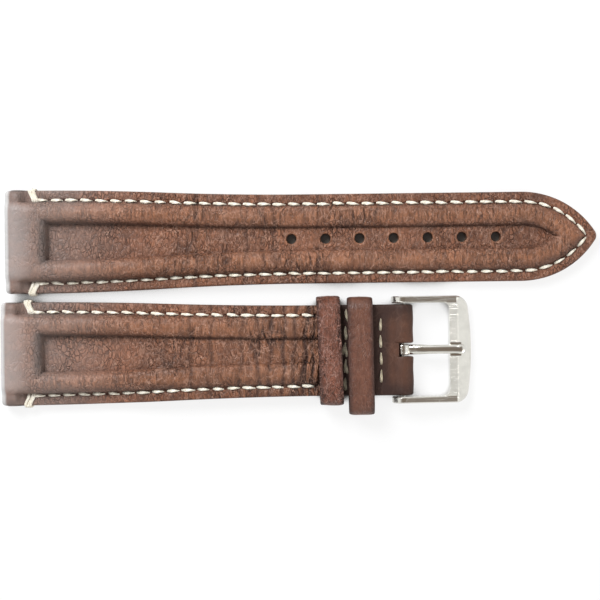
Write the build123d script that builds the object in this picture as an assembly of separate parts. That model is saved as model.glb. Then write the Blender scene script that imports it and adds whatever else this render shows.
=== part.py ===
from build123d import *
from dataclasses import dataclass
from math import sqrt
import os

# Padded leather watch strap in two halves, lying face up side by side.
# X runs from the lug ends to the tip and the buckle, Y across the strap, Z up. Millimetres.

# Both halves
lug_width = 20.0
halves_gap = 1.63
buckle_half_lead = -1.03
plateau_height = 4.8
crown_height = 4.1
crown_end = 3.2
crown_setback = 0.15
crown_foot_radius = 1.5
border_start = 4.8
border_height = 2.3
lining_thickness = 0.9
skin_thickness = 1.1
lug_corner_radius = 0.8
watch_bar_bore_radius = 1.1
turned_end_length = 7.0
lining_butt_gap = 0.1
overrun = 30.0

# Raised border
ridge_setback = 2.5
ridge_width = 3.8
ridge_lean = 0.7
recess_start = 8.2
ridge_fall_end = 58.0
padding_start = 4.7

# Tip half
tip_length = 114.5
tip_narrowing = 2.7
tip_tail_height = 3.4
tip_taper_start = 4.0
tip_taper_end = 58.0
tip_side_radius = 17.0
tip_nose_radius = 1.5
hole_count = 7
hole_radius = 0.95
hole_pitch = 6.6
last_hole_from_tip = 19.5

# Buckle half
buckle_length = 79.7
buckle_narrowing = 2.5
buckle_tail_height = 3.3
buckle_taper_start = 2.0
buckle_taper_end = 63.4
buckle_ridge_fall_end = 56.2
padding_end = 61.6
tail_start = 63.7
tail_height = 3.1
lining_end = 65.2
lift = 1.4
lift_start = 18.0
lift_end = 35.0

# Sewing thread
stitch_pitch = 2.9
stitch_length = 1.9
stitch_width = 0.75
stitch_height = 0.4
stitch_setback = 1.95
stitch_slant = 8.0
stitch_start = 5.8
stitch_middle_share = 0.5
stitch_end_lean = 0.35
stitch_side_slope = 20.0
thread_seat_gap = 0.03
groove_width = 1.1
groove_depth = 0.46
row_end = 61.1
corner_thread_start = 5.2
corner_thread_width = 0.5
corner_thread_gap = 0.08
corner_thread_thickness = 0.4
thread_room = 0.1
cross_stitch_pitch = 3.3
cross_stitch_length = 2.4
front_cross_count = 4
front_cross_place = 73.35
rear_cross_count = 5
rear_cross_place = 66.45

# Keepers
keeper_top = 7.0
keeper_top_radius = 2.5
keeper_bottom_radius = 1.3
keeper_inside_radius = 0.3
fixed_keeper_start = 67.0
fixed_keeper_width = 4.95
fixed_keeper_wall = 1.2
fixed_keeper_far_play = 0.4
fixed_keeper_near_play = 2.5
loose_keeper_start = 61.3
loose_keeper_width = 4.6
loose_keeper_wall = 1.1
loose_keeper_play = 0.7

# Spring bar
bar_axis_from_end = 1.95
tube_radius = 0.75
tube_bore_radius = 0.55
tube_lip = 0.3
tube_lip_clearance = 0.05
spring_bar_fit = 0.05
piston_radius = 0.5
piston_length = 1.5
neck_radius = 0.33
flange_radius = 0.65
flange_length = 0.4
flange_arm_gap = 0.15
plunger_tip_radius = 0.4
plunger_travel = 1.2
spring_radius = 0.38
spring_wire_radius = 0.09
spring_turns = 9
sections_per_turn = 10
wire_sides = 6
spring_seat_gap = 0.05
plunger_stop_gap = 0.05
plunger_release_gap = 0.05

# Buckle frame
frame_side_play = 0.25
arm_thickness = 1.3
arm_end_radius = 2.25
arm_hole_clearance = 0.08
frame_window = 9.0
bar_ridge = 10.5
bar_reach = 13.3
bar_top = 3.7
bar_toe_height = 1.5
bar_toe_lean = 0.5
bar_bevel_slope = 0.4
bar_bow = 1.0
frame_outer_corner = 2.6
frame_inner_corner = 1.2
frame_edge_chamfer = 0.2
frame_edge_least = 0.5
notch_depth = 0.55

# Tang
tang_width = 2.0
tang_side_gap = 0.3
tang_slot_gap = 0.3
tang_hub_radius = 1.3
tang_hub_fit = 0.06
tang_reach = 12.05
tang_bend = 8.4
tang_root_thickness = 1.2
tang_tip_thickness = 0.85
tang_rest_gap = 0.06
tang_edge_radius = 0.2
tang_top_chamfer = 0.3

end_radius = plateau_height / 2
halves_spacing = lug_width + halves_gap
tip_tail_width = lug_width - tip_narrowing
buckle_tail_width = lug_width - buckle_narrowing
bar_axis_x = buckle_length - bar_axis_from_end
bar_axis_z = lift + tail_height / 2
frame_inner_width = buckle_tail_width + 2 * frame_side_play
tube_length = frame_inner_width - 2 * (
    plunger_travel + plunger_stop_gap + flange_length + flange_arm_gap
)
loose_keeper_span = buckle_tail_width + 2 * (loose_keeper_wall + loose_keeper_play)
fixed_keeper_span = (
    buckle_tail_width + 2 * fixed_keeper_wall + fixed_keeper_far_play + fixed_keeper_near_play
)
fixed_keeper_shift = (fixed_keeper_near_play - fixed_keeper_far_play) / 2
tang_rest_height = bar_top - notch_depth + tang_rest_gap
cross_rows = [(front_cross_place, front_cross_count), (rear_cross_place, rear_cross_count)]


@dataclass
class Half:
    """Sizes of one strap half in its own frame, lug end at X 0."""

    length: float
    tail_width: float
    taper_start: float
    taper_end: float
    fall_end: float
    fall_height: float
    lift: float


tip_half = Half(
    tip_length, tip_tail_width, tip_taper_start, tip_taper_end, ridge_fall_end, tip_tail_height, 0
)
buckle_half = Half(
    buckle_length,
    buckle_tail_width,
    buckle_taper_start,
    buckle_taper_end,
    buckle_ridge_fall_end,
    lift + buckle_tail_height,
    lift,
)


def s_curve(start, end, inward=0):
    """Two equal arcs from start to end, along X at both, drawn in by inward."""
    run, rise = end[0] - start[0], end[1] - start[1]
    if rise == 0:
        return [Line((start[0], start[1] - inward), (end[0], end[1] - inward))]
    radius = (run**2 + rise**2) / (4 * rise)
    lean = run / 2 / radius
    middle = (
        (start[0] + end[0]) / 2 + inward * lean,
        (start[1] + end[1]) / 2 - inward * sqrt(1 - lean**2),
    )
    first = TangentArc((start[0], start[1] - inward), middle, tangent=(1, 0))
    return [first, TangentArc(middle, (end[0], end[1] - inward), tangent=first % 1)]


def s_height(x, run, rise):
    """Height and slope of a two-arc curve of that run and rise, x along it."""
    if rise == 0 or x <= 0:
        return 0, 0
    if x >= run:
        return rise, 0
    radius = (run**2 + rise**2) / (4 * rise)
    near = min(x, run - x)
    drop = sqrt(radius**2 - near**2)
    height = radius - drop
    return (height if x < run / 2 else rise - height), near / drop


def far_side(half, inward):
    """The outline's +Y side from past the lug end to the tip or tail, drawn in by inward."""
    lug, tail = lug_width / 2, half.tail_width / 2
    edges = [Line((-overrun, lug - inward), (half.taper_start, lug - inward))]
    edges += s_curve((half.taper_start, lug), (half.taper_end, tail), inward)
    if half is buckle_half:
        corner = (half.length - inward, tail - inward)
        edges.append(Line((half.taper_end, tail - inward), corner))
        return edges
    drop = tip_side_radius - tail
    reach = tip_side_radius - tip_nose_radius
    nose = half.length - tip_nose_radius
    turn = nose - sqrt(reach**2 - drop**2)
    if inward < tip_nose_radius:
        left = tip_nose_radius - inward
        meet = (nose + left * (nose - turn) / reach, left * drop / reach)
    else:
        meet = (turn + sqrt((tip_side_radius - inward) ** 2 - drop**2), 0)
    edges.append(Line((half.taper_end, tail - inward), (turn, tail - inward)))
    edges.append(TangentArc((turn, tail - inward), meet, tangent=(1, 0)))
    return edges


def edge_line(half, inward):
    """The outline's edges from the far side round to the near side, drawn in by inward."""
    far = far_side(half, inward)
    near = [edge.mirror(Plane.XZ) for edge in reversed(far)]
    last = far[-1] @ 1
    if half is buckle_half:
        return far + [Line(last, (last.X, -last.Y))] + near
    if inward >= tip_nose_radius:
        return far + near
    return far + [ThreePointArc(last, (half.length - inward, 0), (last.X, -last.Y))] + near


def plan(half, inward=0):
    """Outline of a half from above, run out past the lug end and drawn in by inward."""
    edges = edge_line(half, inward)
    start = edges[0] @ 0
    return Sketch() + Face(Wire(edges + [Line((start.X, -start.Y), start)]))


def window(start, end, width=lug_width + overrun):
    """Rectangle from start to end along X, centred across the strap."""
    return Pos((start + end) / 2, 0) * Rectangle(end - start, width)


def tall(sketch):
    """A plan outline as a prism through the whole thickness."""
    return extrude(sketch, amount=overrun, both=True)


def across(outline, width=lug_width + overrun):
    """A side outline in XZ as a solid, centred across the strap."""
    return extrude(Plane.XZ * outline, amount=width / 2, both=True)


def bottom_line(half, rise, start=end_radius):
    """The wrist side of a half, raised by rise, as edges in XZ."""
    if half.lift == 0:
        return [Line((start, rise), (half.length, rise))]
    return [
        Line((start, rise), (lift_start, rise)),
        *s_curve((lift_start, rise), (lift_end, rise + half.lift)),
        Line((lift_end, rise + half.lift), (half.length, rise + half.lift)),
    ]


def ridge_line(half, drop):
    """The top of the raised border, lowered by drop, as edges in XZ."""
    high, low = plateau_height - drop, half.fall_height - drop
    return [
        Line((end_radius, high), (recess_start, high)),
        *s_curve((recess_start, high), (half.fall_end, low)),
        Line((half.fall_end, low), (half.length, low)),
    ]


def layer(half, low, high, ends):
    """The solid between two side lines, closed by ends at the lug."""
    close = Line(low[-1] @ 1, high[-1] @ 1)
    return across(Face(Wire(low + [close] + high + ends)))


def lug_end(foot, height, setback=0):
    """Rounded lug end as edges in XZ, an arc of radius foot below and the rest above it."""
    upper = height - foot
    lower_arc = CenterArc((setback + foot, foot), foot, 180, 90)
    upper_arc = CenterArc((setback + upper, foot), upper, 90, 90)
    return [lower_arc, upper_arc]


def border_body(half):
    """Everything up to the stitched border's height, rounded at the lug end."""
    crown = crown_setback + crown_height - crown_foot_radius
    top = [
        Line((crown, crown_height), (crown_end, crown_height)),
        *s_curve((crown_end, crown_height), (border_start, border_height)),
        Line((border_start, border_height), (lift_start, border_height)),
    ]
    if half.lift:
        top += s_curve((lift_start, border_height), (lift_end, border_height + half.lift))
        top.append(
            Line((lift_end, border_height + half.lift), (half.length, border_height + half.lift))
        )
    else:
        top.append(Line((lift_start, border_height), (half.length, border_height)))
    low = bottom_line(half, 0, crown_setback + crown_foot_radius)
    body = layer(half, low, top, lug_end(crown_foot_radius, crown_height, crown_setback))
    corners = window(crown_setback, 2 * half.length, lug_width)
    corners = fillet(corners.vertices().group_by(Axis.X)[0], lug_corner_radius)
    return body & tall(plan(half)) & tall(corners)


def recess_plan(half, inward, start):
    """The sunken field inside the raised border, drawn in by inward, from start along X."""
    return plan(half, inward) & window(start, half.length)


def sloped(low_plan, high_plan):
    """Straight-sided solid from one plan at the border's height to one at the plateau's."""
    foot = Pos(0, 0, lining_thickness) * low_plan
    head = Pos(0, 0, plateau_height) * high_plan
    return loft([foot.face(), head.face()], ruled=True)


def ridge_body(half, end):
    """The raised border as a ring with leaning sides, up to end along X."""
    inner = ridge_setback + ridge_width
    ring = sloped(plan(half, ridge_setback), plan(half, ridge_setback + ridge_lean))
    ring -= sloped(
        recess_plan(half, inner, recess_start),
        recess_plan(half, inner - ridge_lean, recess_start - ridge_lean),
    )
    low, high = bottom_line(half, 0), ridge_line(half, 0)
    body = layer(half, low, high, lug_end(end_radius, plateau_height))
    return body & ring & tall(window(-overrun / 2, end))


def padding_body(half, end):
    """The filler frame under the raised border, a skin's thickness inside it."""
    outer = ridge_setback + skin_thickness
    inner = ridge_setback + ridge_width - skin_thickness
    ring = plan(half, outer) - recess_plan(half, inner, recess_start - skin_thickness)
    ring &= window(padding_start, end - skin_thickness)
    low, high = bottom_line(half, lining_thickness), ridge_line(half, skin_thickness)
    return layer(half, low, high, [Line(low[0] @ 0, high[0] @ 0)]) & tall(ring)


def lining_body(half, end):
    """The wrist-side leather, from its butt with the turned end up to end along X."""
    low, high = bottom_line(half, 0), bottom_line(half, lining_thickness)
    body = layer(half, low, high, [Line(low[0] @ 0, high[0] @ 0)])
    start = turned_end_length + lining_butt_gap
    return body & tall(plan(half) & window(start, end))


def lining_space(half, end):
    """The room under the outer leather that the lining fills, up to end along X."""
    low, high = bottom_line(half, -lining_thickness), bottom_line(half, lining_thickness)
    body = layer(half, low, high, [Line(low[0] @ 0, high[0] @ 0)])
    return body & tall(window(turned_end_length, end))


def groove(half, end):
    """Channel along the stitch line on the wrist side, up to end along X."""
    wide = stitch_setback - groove_width / 2
    track = plan(half, wide) - plan(half, wide + groove_width)
    track &= window(stitch_start, end)
    low, high = bottom_line(half, -groove_depth), bottom_line(half, groove_depth)
    return layer(half, low, high, [Line(low[0] @ 0, high[0] @ 0)]) & tall(track)


def corner_grooves():
    """Channels on the wrist side under the threads wrapped over both edges."""
    run = 2 * corner_thread_width + corner_thread_gap + 2 * thread_room
    reach = stitch_setback + stitch_width
    cuts = Pos(corner_thread_start - thread_room, 0, 0) * Box(
        run, lug_width + reach, 2 * groove_depth, align=(Align.MIN, Align.CENTER, Align.CENTER)
    )
    core = Box(overrun, lug_width - 2 * reach, overrun)
    return cuts - core


def across_bar(radius, length, x, z, y=0):
    """Cylinder across the strap, centred on x, y, z."""
    return Pos(x, y, z) * Rot(90, 0, 0) * Cylinder(radius, length)


def watch_bar_bore():
    """The tunnel for the watch's spring bar."""
    return across_bar(watch_bar_bore_radius, lug_width + overrun, end_radius, end_radius)


def tip_holes():
    """The adjustment holes, counted back from the tip."""
    last = tip_length - last_hole_from_tip
    drill = Cylinder(hole_radius, overrun)
    return [Pos(last - step * hole_pitch, 0, 0) * drill for step in range(hole_count)]


def tip_leather():
    """Outer leather, filler and lining of the half with the holes."""
    filler = padding_body(tip_half, tip_length)
    outer = border_body(tip_half) + ridge_body(tip_half, tip_length)
    upper = outer - filler - lining_space(tip_half, tip_length + overrun) - watch_bar_bore()
    upper = upper - groove(tip_half, tip_length) - corner_grooves()
    under = lining_body(tip_half, tip_length + overrun) - groove(tip_half, tip_length)
    for hole in tip_holes():
        upper -= hole
        under -= hole
    return upper, filler, under


def tail_body():
    """Flat doubled leather from the border's end to the loop round the buckle's bar."""
    middle = (tail_start + bar_axis_x) / 2
    block = Pos(middle, 0, bar_axis_z) * Box(bar_axis_x - tail_start, buckle_tail_width, tail_height)
    return block + across_bar(bar_axis_from_end, buckle_tail_width, bar_axis_x, bar_axis_z)


def tang_slot():
    """The slot for the tang, right through the loop, with room for its hub."""
    width = tang_width + 2 * tang_side_gap
    back = tang_root_thickness / 2 + tang_slot_gap
    slot = Pos(bar_axis_x - back, 0, bar_axis_z) * Box(
        overrun, width, overrun, align=(Align.MIN, Align.CENTER, Align.CENTER)
    )
    return slot + across_bar(tang_hub_radius + tang_slot_gap, width, bar_axis_x, bar_axis_z)


def keeper_pass():
    """The pass through the tail that the fixed keeper's lower run fills."""
    low = lift + lining_thickness
    return Pos(fixed_keeper_start, 0, low) * Box(
        fixed_keeper_width,
        lug_width + overrun,
        fixed_keeper_wall,
        align=(Align.MIN, Align.CENTER, Align.MIN),
    )


def cross_groove(place, count):
    """Channel on the wrist side under a cross row."""
    return Pos(place, 0, lift) * Box(
        groove_width, count * cross_stitch_pitch, 2 * groove_depth
    )


def buckle_leather():
    """Outer leather, filler and lining of the half that carries the buckle."""
    filler = padding_body(buckle_half, padding_end)
    border = border_body(buckle_half) & tall(window(-overrun / 2, bar_axis_x))
    outer = border + ridge_body(buckle_half, padding_end) + tail_body()
    upper = outer - filler - lining_space(buckle_half, lining_end + lining_butt_gap)
    upper = upper - watch_bar_bore() - groove(buckle_half, row_end) - corner_grooves()
    upper = upper - keeper_pass() - tang_slot()
    bore = tube_radius + spring_bar_fit
    upper -= across_bar(bore, buckle_tail_width + overrun, bar_axis_x, bar_axis_z)
    under = lining_body(buckle_half, lining_end) - groove(buckle_half, row_end)
    for place, count in cross_rows:
        upper -= cross_groove(place, count)
    return upper, filler, under


def stitch(length):
    """One pulled-down stitch along X with leaning ends and sides, its foot at Z 0."""
    end, side = length / 2, stitch_width / 2
    corners = [
        (-end, -side),
        (end - stitch_end_lean, -side),
        (end, side),
        (stitch_end_lean - end, side),
    ]
    foot = Polygon(*corners, align=None)
    return extrude(foot, amount=stitch_height, taper=stitch_side_slope).solid()


def seated(piece, half, point, direction):
    """The stitch laid on the border at point and again under it in the wrist-side groove."""
    rise, slope = s_height(point.X - lift_start, lift_end - lift_start, half.lift)
    along = Vector(direction.X, direction.Y, slope * direction.X)
    up = Vector(-slope, 0, 1)
    top = point + Vector(0, 0, rise + border_height + thread_seat_gap)
    foot = point + Vector(0, 0, rise + groove_depth - thread_seat_gap)
    turn = Rot(0, 0, stitch_slant)
    over = Plane(origin=top, x_dir=along, z_dir=up).location * turn * piece
    under = Plane(origin=foot, x_dir=along, z_dir=-up).location * turn * piece
    return [over, under]


def edge_stitches(half):
    """Saddle stitches along both edges, round the tip or up to the keepers."""
    path = Wire(edge_line(half, stitch_setback))
    lead = overrun + stitch_start
    if half is tip_half:
        room = path.length - 2 * lead
        count = 2 * round(room / stitch_pitch / 2)
        places = [lead + room * (step + stitch_middle_share) / count for step in range(count)]
    else:
        count = int((row_end - stitch_start) / stitch_pitch)
        places = [lead + stitch_pitch * (step + stitch_middle_share) for step in range(count)]
        places += [path.length - place for place in places]
    piece, made = stitch(stitch_length), []
    for place in places:
        point = path.position_at(place, position_mode=PositionMode.LENGTH)
        direction = path.tangent_at(place, position_mode=PositionMode.LENGTH)
        made += seated(piece, half, point, direction)
    return made


def cross_stitches(place, count):
    """A row of stitches across the tail, on top and in the wrist-side groove."""
    piece = Rot(0, 0, 90 - stitch_slant) * stitch(cross_stitch_length)
    top = lift + tail_height + thread_seat_gap
    foot = lift + groove_depth - thread_seat_gap
    made = []
    for step in range(count):
        y = (step - (count - 1) / 2) * cross_stitch_pitch
        made += [Pos(place, y, top) * piece, Pos(place, y, foot) * Rot(180, 0, 0) * piece]
    return made


def corner_threads():
    """Doubled strands wrapped over both edges where the rows start."""
    near_edge = lug_width / 2 - stitch_setback - stitch_width / 2
    outer_high = border_height + thread_seat_gap + corner_thread_thickness
    outer_far = lug_width / 2 + thread_seat_gap + corner_thread_thickness
    outer = Pos(near_edge, thread_seat_gap) * Rectangle(
        outer_far - near_edge, outer_high - thread_seat_gap, align=Align.MIN
    )
    outer = chamfer(outer.vertices().group_by(Axis.X)[-1], corner_thread_thickness)
    inner = Pos(near_edge, thread_seat_gap + corner_thread_thickness) * Rectangle(
        outer_far - near_edge - corner_thread_thickness,
        outer_high - thread_seat_gap - 2 * corner_thread_thickness,
        align=Align.MIN,
    )
    strand = extrude(Plane.YZ * (outer - inner), amount=corner_thread_width)
    made = []
    for step in range(2):
        place = corner_thread_start + step * (corner_thread_width + corner_thread_gap)
        far = Pos(place, 0, 0) * strand
        made += [far, far.mirror(Plane.XZ)]
    return made


def keeper(start, width, span, wall, low, shift=0):
    """A closed leather loop round the strap, standing on low."""
    height = keeper_top - low
    outer = Pos(shift, low) * Rectangle(span, height, align=(Align.CENTER, Align.MIN))
    outer = fillet(outer.vertices().group_by(Axis.Y)[-1], keeper_top_radius)
    outer = fillet(outer.vertices().group_by(Axis.Y)[0], keeper_bottom_radius)
    inner = Pos(shift, low + wall) * Rectangle(
        span - 2 * wall, height - 2 * wall, align=(Align.CENTER, Align.MIN)
    )
    inside = max(keeper_top_radius - wall, keeper_inside_radius)
    inner = fillet(inner.vertices().group_by(Axis.Y)[-1], inside)
    inner = fillet(inner.vertices().group_by(Axis.Y)[0], keeper_inside_radius)
    return Pos(start, 0, 0) * extrude(Plane.YZ * (outer - inner), amount=width)


def buckle_frame():
    """The steel frame: two arms on the spring bar and a bevelled, bowed front bar."""
    reach = bar_axis_x + bar_reach
    toe = Polygon(
        (bar_axis_x + frame_window, 0),
        (reach - bar_toe_lean, 0),
        (reach, bar_toe_height),
        (bar_axis_x + bar_ridge, bar_top),
        align=None,
    )
    eye = Pos(bar_axis_x, bar_axis_z) * Circle(arm_end_radius)
    side = make_hull(toe.edges() + eye.edges())
    half_width = frame_inner_width / 2 + arm_thickness
    back = bar_axis_x - overrun
    corner = (reach - bar_bow, half_width)
    outline = Wire([
        Line((back, -half_width), (corner[0], -corner[1])),
        ThreePointArc((corner[0], -corner[1]), (reach, 0), corner),
        Line(corner, (back, half_width)),
        Line((back, half_width), (back, -half_width)),
    ])
    outside = Sketch() + Face(outline)
    outside = fillet(outside.vertices().group_by(Axis.X)[-1], frame_outer_corner)
    inside = Pos(back, 0) * Rectangle(
        overrun + frame_window, frame_inner_width, align=(Align.MIN, Align.CENTER)
    )
    inside = fillet(inside.vertices().group_by(Axis.X)[-1], frame_inner_corner)
    frame = across(side) & tall(outside - inside)
    rims = [edge for edge in frame.edges() if edge.length > frame_edge_least]
    frame = chamfer(rims, frame_edge_chamfer)
    ridge, inner = bar_axis_x + bar_ridge, bar_axis_x + frame_window - frame_inner_corner
    bevel = Polygon(
        (inner, bar_top - (ridge - inner) * bar_bevel_slope),
        (ridge, bar_top),
        (ridge, overrun),
        (inner, overrun),
        align=None,
    )
    frame -= across(bevel, frame_inner_width)
    notch_width = tang_width + 2 * tang_side_gap
    notch = Pos(bar_axis_x + frame_window, 0, bar_top - notch_depth) * Box(
        2 * overrun, notch_width, overrun, align=(Align.CENTER, Align.CENTER, Align.MIN)
    )
    hole = plunger_tip_radius + arm_hole_clearance
    return frame - notch - across_bar(hole, lug_width + overrun, bar_axis_x, bar_axis_z)


def tang():
    """The steel pin: a hub round the spring bar and a blade that lies in the notch."""
    root, tip = tang_root_thickness / 2, tang_tip_thickness
    bend, reach = bar_axis_x + tang_bend, bar_axis_x + tang_reach
    side = Polygon(
        (bar_axis_x, bar_axis_z - root),
        (bend, tang_rest_height),
        (reach, tang_rest_height),
        (reach, tang_rest_height + tip),
        (bend, tang_rest_height + tip),
        (bar_axis_x, bar_axis_z + root),
        align=None,
    )
    blade = across(side, tang_width)
    shape = Pos(bar_axis_x, 0) * Rectangle(
        tang_reach, tang_width, align=(Align.MIN, Align.CENTER)
    )
    shape = fillet(shape.vertices().group_by(Axis.X)[-1], tang_width / 2 - tang_edge_radius)
    blade = blade & tall(shape)
    upper = [face for face in blade.faces() if face.normal_at().Z > tang_top_chamfer]
    rims = [edge for face in upper for edge in face.edges()]
    nose = [edge for edge in rims if edge.center().X > bend + tang_edge_radius]
    sides = [edge for edge in rims if abs(edge.center().Y) > tang_edge_radius]
    blade = chamfer(ShapeList(set(nose + sides)), tang_top_chamfer)
    body = blade + across_bar(tang_hub_radius, tang_width, bar_axis_x, bar_axis_z)
    bore = tube_radius + tang_hub_fit
    return body - across_bar(bore, tang_width + overrun, bar_axis_x, bar_axis_z)


def spring_bar_tube():
    """The rolled tube, its ends closed in round the plungers' necks."""
    lip = neck_radius + tube_lip_clearance
    tube = across_bar(tube_radius, tube_length, bar_axis_x, bar_axis_z)
    tube -= across_bar(tube_bore_radius, tube_length - 2 * tube_lip, bar_axis_x, bar_axis_z)
    return tube - across_bar(lip, tube_length + overrun, bar_axis_x, bar_axis_z)


def turned_pin(steps, start):
    """A round pin across the strap from start outwards, from (radius, length) steps."""
    made, place = None, start
    for radius, length in steps:
        piece = across_bar(radius, length, bar_axis_x, bar_axis_z, place + length / 2)
        made = piece if made is None else made + piece
        place += length
    return made


def plunger():
    """The far end pin: piston, neck, flange and the tip that enters the arm."""
    shoulder = tube_length / 2 + plunger_travel + plunger_stop_gap
    tip_end = frame_inner_width / 2 + plunger_travel - plunger_release_gap
    neck = shoulder - (tube_length / 2 - tube_lip)
    steps = [
        (piston_radius, piston_length),
        (neck_radius, neck),
        (flange_radius, flange_length),
        (plunger_tip_radius, tip_end - shoulder - flange_length),
    ]
    return turned_pin(steps, tube_length / 2 - tube_lip - piston_length)


def compression_spring():
    """The coil between the two pistons, its wire lofted through sections along a helix."""
    length = tube_length - 2 * (tube_lip + piston_length + spring_seat_gap + spring_wire_radius)
    coil = Helix(length / spring_turns, length, spring_radius)
    count = spring_turns * sections_per_turn
    section = RegularPolygon(spring_wire_radius, wire_sides)
    sections = []
    for step in range(count + 1):
        centre = coil @ (step / count)
        outward = Vector(centre.X, centre.Y, 0)
        place = Plane(origin=centre, x_dir=outward, z_dir=coil % (step / count))
        sections.append((place * section).face())
    body = loft(sections, ruled=True)
    return Pos(bar_axis_x, length / 2, bar_axis_z) * Rot(90, 0, 0) * body


def tip_pieces():
    """The pieces of the tip half by name, in the half's own frame."""
    upper, filler, under = tip_leather()
    return {
        "tip_upper": upper,
        "tip_padding": filler,
        "tip_lining": under,
        "tip_stitching": edge_stitches(tip_half),
        "tip_corner_threads": corner_threads(),
    }


def buckle_pieces():
    """The pieces of the buckle half by name, in the half's own frame."""
    upper, filler, under = buckle_leather()
    far = plunger()
    return {
        "buckle_upper": upper,
        "buckle_padding": filler,
        "buckle_lining": under,
        "buckle_stitching": edge_stitches(buckle_half),
        "buckle_corner_threads": corner_threads(),
        "front_cross_stitches": cross_stitches(front_cross_place, front_cross_count),
        "rear_cross_stitches": cross_stitches(rear_cross_place, rear_cross_count),
        "fixed_keeper": keeper(
            fixed_keeper_start,
            fixed_keeper_width,
            fixed_keeper_span,
            fixed_keeper_wall,
            lift + lining_thickness,
            -fixed_keeper_shift,
        ),
        "loose_keeper": keeper(
            loose_keeper_start, loose_keeper_width, loose_keeper_span, loose_keeper_wall, 0
        ),
        "buckle_frame": buckle_frame(),
        "buckle_tang": tang(),
        "spring_bar_tube": spring_bar_tube(),
        "spring_bar_plunger_far": far,
        "spring_bar_plunger_near": far.mirror(Plane.XZ),
        "spring_bar_spring": compression_spring(),
    }


def gathered(piece):
    """One shape for a node: a single solid, or a group of separate solids."""
    if isinstance(piece, list):
        return Compound(children=[item.solid() for item in piece])
    return piece


def main():
    """Build both halves, centre them over the origin and write one file per piece."""
    os.makedirs("parts", exist_ok=True)
    placed = {}
    for name, piece in tip_pieces().items():
        placed[name] = Pos(0, halves_spacing / 2, 0) * gathered(piece)
    for name, piece in buckle_pieces().items():
        placed[name] = Pos(buckle_half_lead, -halves_spacing / 2, 0) * gathered(piece)
    boxes = [piece.bounding_box() for piece in placed.values()]
    middle = [
        (min(box.min.X for box in boxes) + max(box.max.X for box in boxes)) / 2,
        (min(box.min.Y for box in boxes) + max(box.max.Y for box in boxes)) / 2,
    ]
    for name, piece in placed.items():
        export_step(Pos(-middle[0], -middle[1], 0) * piece, f"parts/{name}.step")
    print("middle of the outline from the tip half's lug end:", middle)
    print("spring bar axis, buckle half's frame:", bar_axis_x, bar_axis_z)


main()
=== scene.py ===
"""Looks of the padded leather watch strap: leather, filler, thread, keepers and steel.

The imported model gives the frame. Sizes here are millimetres in each half's own frame
(lug end at X 0, centreline at Y 0, underside at Z 0) and become metres in the mesh.
"""

import logging
import math
from dataclasses import dataclass
from enum import Enum

import bmesh
import bpy
import numpy as np
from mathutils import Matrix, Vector


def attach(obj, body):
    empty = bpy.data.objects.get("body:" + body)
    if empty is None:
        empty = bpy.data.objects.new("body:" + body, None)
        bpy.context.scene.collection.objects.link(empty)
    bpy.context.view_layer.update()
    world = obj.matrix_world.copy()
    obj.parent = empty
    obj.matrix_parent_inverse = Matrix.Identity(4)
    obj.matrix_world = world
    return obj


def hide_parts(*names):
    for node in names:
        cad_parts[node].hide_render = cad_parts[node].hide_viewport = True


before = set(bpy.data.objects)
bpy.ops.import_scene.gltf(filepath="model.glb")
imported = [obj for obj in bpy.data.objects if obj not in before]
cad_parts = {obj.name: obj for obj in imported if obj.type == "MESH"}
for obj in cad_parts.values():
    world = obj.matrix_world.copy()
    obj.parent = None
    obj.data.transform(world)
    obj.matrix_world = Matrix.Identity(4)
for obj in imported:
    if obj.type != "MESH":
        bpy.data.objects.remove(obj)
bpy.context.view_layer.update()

MM = 0.001
WHITE = (1.0, 1.0, 1.0, 1.0)
STITCH_DEPTH = 0.42  # of the grooves that hold the underside's stitches
SHARED_END = 52.1  # X up to which both halves are cut at the same stations
TAIL_STEP = 65.29  # X beyond the lining's end, where the tail is one block of leather
NO_SEAM = 50.0  # inset, or addition to one, at which no needle holes show
log = logging.getLogger("strap")

Array = np.ndarray
Colour = tuple[float, float, float]


class Kind(Enum):
    """Kinds of pieces: last word of the name, slot of the record, angle of a sharp edge."""

    SKIN = ("skin", "upper_leather", 38.0)
    SHEET = ("sheet", "lining_leather", 38.0)
    LOOP = ("loop", "keeper_leather", 60.0)
    THREAD = ("thread", "thread", 180.0)
    PIN = ("pin", "polished_steel", 50.0)


class Body(Enum):
    """Bodies of the record that the new pieces ride on."""

    TIP = "tip_half"
    BUCKLE = "buckle_half"
    KEEPER = "loose_keeper"
    TANG = "buckle_tang"


# ---------------------------------------------------------------- curves and grids


def smooth(value: Array) -> Array:
    """Ease 3t² - 2t³ of a value held between 0 and 1."""
    t = np.clip(value, 0.0, 1.0)
    return t * t * (3.0 - 2.0 * t)


def ramp(value: Array, start: float, run: float) -> Array:
    """Ease from 0 at start to 1 a run further on, or further back for a run below 0."""
    return smooth((value - start) / run)


def double_arc(value: Array) -> Array:
    """Two equal arcs from 0 to 1: 2t² to the middle and its mirror image after it."""
    t = np.clip(value, 0.0, 1.0)
    return np.where(t < 0.5, 2.0 * t * t, 1.0 - 2.0 * (1.0 - t) ** 2)


def dome(value: Array, power: float = 2.4) -> Array:
    """Quarter superellipse from 0, steep, to 1, level: (1 - (1 - t)^p)^(1/p)."""
    t = np.clip(value, 0.0, 1.0)
    return (1.0 - (1.0 - t) ** power) ** (1.0 / power)


def rim(inset: Array, radius: float) -> Array:
    """Drop of a rounded rim at a distance in from it: r - sqrt(r² - (r - d)²)."""
    left = np.clip(radius - inset, 0.0, radius)
    return radius - np.sqrt(radius**2 - left**2)


def rim_steps() -> Array:
    """Distances in from an edge at which a rounded rim 0.25 mm deep is drawn."""
    return np.array([0.0, 0.01, 0.04, 0.09, 0.16, 0.25])


def bell(value: Array, middle: float, width: float) -> Array:
    """Gaussian exp(-((v - m) / w)²)."""
    return np.exp(-(((value - middle) / width) ** 2))


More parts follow.
